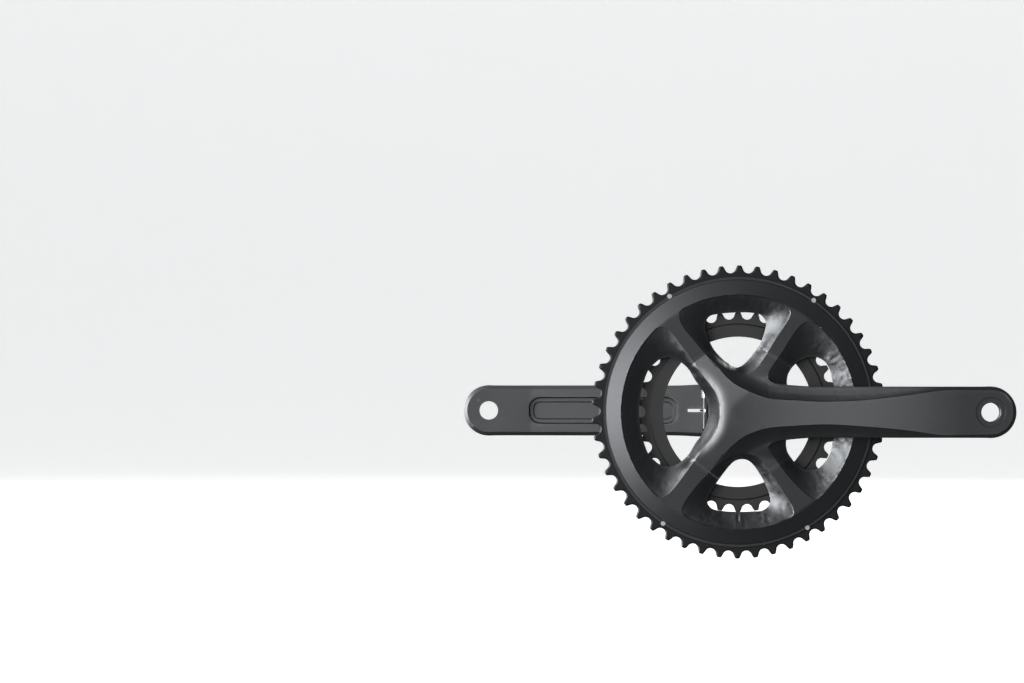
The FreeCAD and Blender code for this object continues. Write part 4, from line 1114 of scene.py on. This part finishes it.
class CRANKSET_OT_large_ring(bpy.types.Operator):
    """Builds the large chainring with its coned face"""

    bl_idname = "crankset.large_ring"
    bl_label = "Large ring"

    def execute(self, context):
        spacing = context.scene.crankset_sizes.ring_spacing / MM
        teeth = toothed_line(TEETH, TIP_RADIUS, TOOTH_TURN)
        lines = ring_lines(teeth)
        limit = RING_HIGH[0] + 2.0

        def in_ring(x, z):
            return inside(teeth, x, z) & ~in_any(OPENINGS, x, z)

        points, faces = triangulate(lines + ring_guides(), in_ring, (-limit, -limit), (limit, limit), spacing)
        front = ring_crest(points, faces, lines)
        points, faces, front = trimmed(points, faces, front, past_seams)
        front, back = ring_sides(points, front, teeth)
        shell = plate_shell(points, faces, front, back, DRIVE)
        piece = new_piece("large_chainring", *shell, ("ring_satin", "ring_dark"), "crank",
                          "outer_ring_alloy", past_cone)
        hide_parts("outer_chainring")
        return {"FINISHED"}


# ---- stage ---------------------------------------------------------------------------------------

LIGHTS = (
    ("left_softbox", (-1.6, -1.0, 0.12), 1.6, 84.0),
    ("front_fill", (-1.3, -4.6, 0.7), 1.0, 20.0),
    ("top_softbox", (-0.9, -1.2, 2.4), 1.4, 8.0),
    ("rear_softbox", (1.6, 2.8, 1.2), 1.6, 70.0),
    ("rear_fill", (-2.2, 2.4, 1.0), 1.6, 40.0),
)


def set_camera(scene, settings):
    """Camera square to the drive side."""
    data = bpy.data.cameras.new("camera")
    data.lens = settings.lens
    data.sensor_width = 36.0
    data.clip_end = 50.0
    camera = bpy.data.objects.new("camera", data)
    camera.location = (settings.aim[0], -RING_BACK * MM - settings.distance, settings.aim[1])
    camera.rotation_euler = (math.pi / 2, 0.0, 0.0)
    scene.collection.objects.link(camera)
    scene.camera = camera


def hang_backdrop(scene, settings):
    """Glowing paper, laid under the crankset and curved up behind it, in metres."""
    floor, bend_start, bend, side, top = CAD_BOX[0].z - 0.02, 4.5, 1.5, 12.0, 12.0
    profile = [(-8.0, floor), (bend_start, floor)]
    profile += [(bend_start + bend * math.sin(a), floor + bend * (1 - math.cos(a)))
                for a in np.radians(np.linspace(5, 90, 18))]
    profile += [(bend_start + bend, top)]
    vertices = [(x, y, z) for y, z in profile for x in (-side, side)]
    faces = [(2 * n, 2 * n + 1, 2 * n + 3, 2 * n + 2) for n in range(len(profile) - 1)]
    mesh = bpy.data.meshes.new("backdrop")
    mesh.from_pydata(vertices, [], faces)
    mesh.shade_smooth()
    paper = finish("studio_paper", (0.7, 0.7, 0.705), 0.0, 0.9, 300.0, 0.02, 0.01)
    glow = paper.node_tree.nodes["Principled BSDF"]
    glow.inputs["Emission Color"].default_value = (1.0, 1.0, 1.0, 1.0)
    glow.inputs["Emission Strength"].default_value = settings.backdrop
    mesh.materials.append(paper)
    backdrop = bpy.data.objects.new("backdrop", mesh)
    backdrop.visible_glossy = False
    scene.collection.objects.link(backdrop)


def set_lights(scene):
    """Soft boxes that all face the crankset, and a faint sky."""
    world = bpy.data.worlds.new("studio")
    world.use_nodes = True
    sky = world.node_tree.nodes["Background"]
    sky.inputs["Color"].default_value = (0.9, 0.95, 1.0, 1.0)
    sky.inputs["Strength"].default_value = 0.13
    scene.world = world
    for name, place, size, power in LIGHTS:
        data = bpy.data.lights.new(name, "AREA")
        data.size = size
        data.energy = power
        light = bpy.data.objects.new(name, data)
        light.location = place
        light.rotation_mode = "QUATERNION"
        light.rotation_quaternion = (-Vector(place)).to_track_quat("-Z", "Y")
        scene.collection.objects.link(light)


class CRANKSET_OT_stage(bpy.types.Operator):
    """Sets up the floor, the lights and the camera"""

    bl_idname = "crankset.stage"
    bl_label = "Stage"

    def execute(self, context):
        scene = context.scene
        set_camera(scene, scene.crankset_stage)
        hang_backdrop(scene, scene.crankset_stage)
        set_lights(scene)
        scene.view_settings.view_transform = "Standard"
        return {"FINISHED"}


# ---- panel and registration ----------------------------------------------------------------------

OPERATORS = (CRANKSET_OT_finishes, CRANKSET_OT_cups, CRANKSET_OT_bearings, CRANKSET_OT_spindle,
             CRANKSET_OT_small_ring, CRANKSET_OT_fasteners, CRANKSET_OT_right_arm, CRANKSET_OT_left_arm,
             CRANKSET_OT_large_ring, CRANKSET_OT_stage)


class CRANKSET_PT_panel(bpy.types.Panel):
    """Lists every step in the sidebar."""

    bl_idname = "CRANKSET_PT_panel"
    bl_label = "Crankset"
    bl_space_type = "VIEW_3D"
    bl_region_type = "UI"
    bl_category = "Crankset"

    def draw(self, context):
        for operator in OPERATORS:
            self.layout.operator(operator.bl_idname)


SETTINGS = (("crankset_sizes", CranksetSizes), ("crankset_colours", CranksetColours),
            ("crankset_stage", StageSettings))


def register():
    for _, group in SETTINGS:
        bpy.utils.register_class(group)
    for name, group in SETTINGS:
        setattr(bpy.types.Scene, name, bpy.props.PointerProperty(type=group))
    for item in OPERATORS + (CRANKSET_PT_panel,):
        bpy.utils.register_class(item)


def unregister():
    for item in reversed(OPERATORS + (CRANKSET_PT_panel,)):
        bpy.utils.unregister_class(item)
    for name, group in SETTINGS:
        delattr(bpy.types.Scene, name)
        bpy.utils.unregister_class(group)


def main():
    register()
    for operator in OPERATORS:
        group, name = operator.bl_idname.split(".")
        getattr(getattr(bpy.ops, group), name)()


if __name__ == "__main__":
    main()
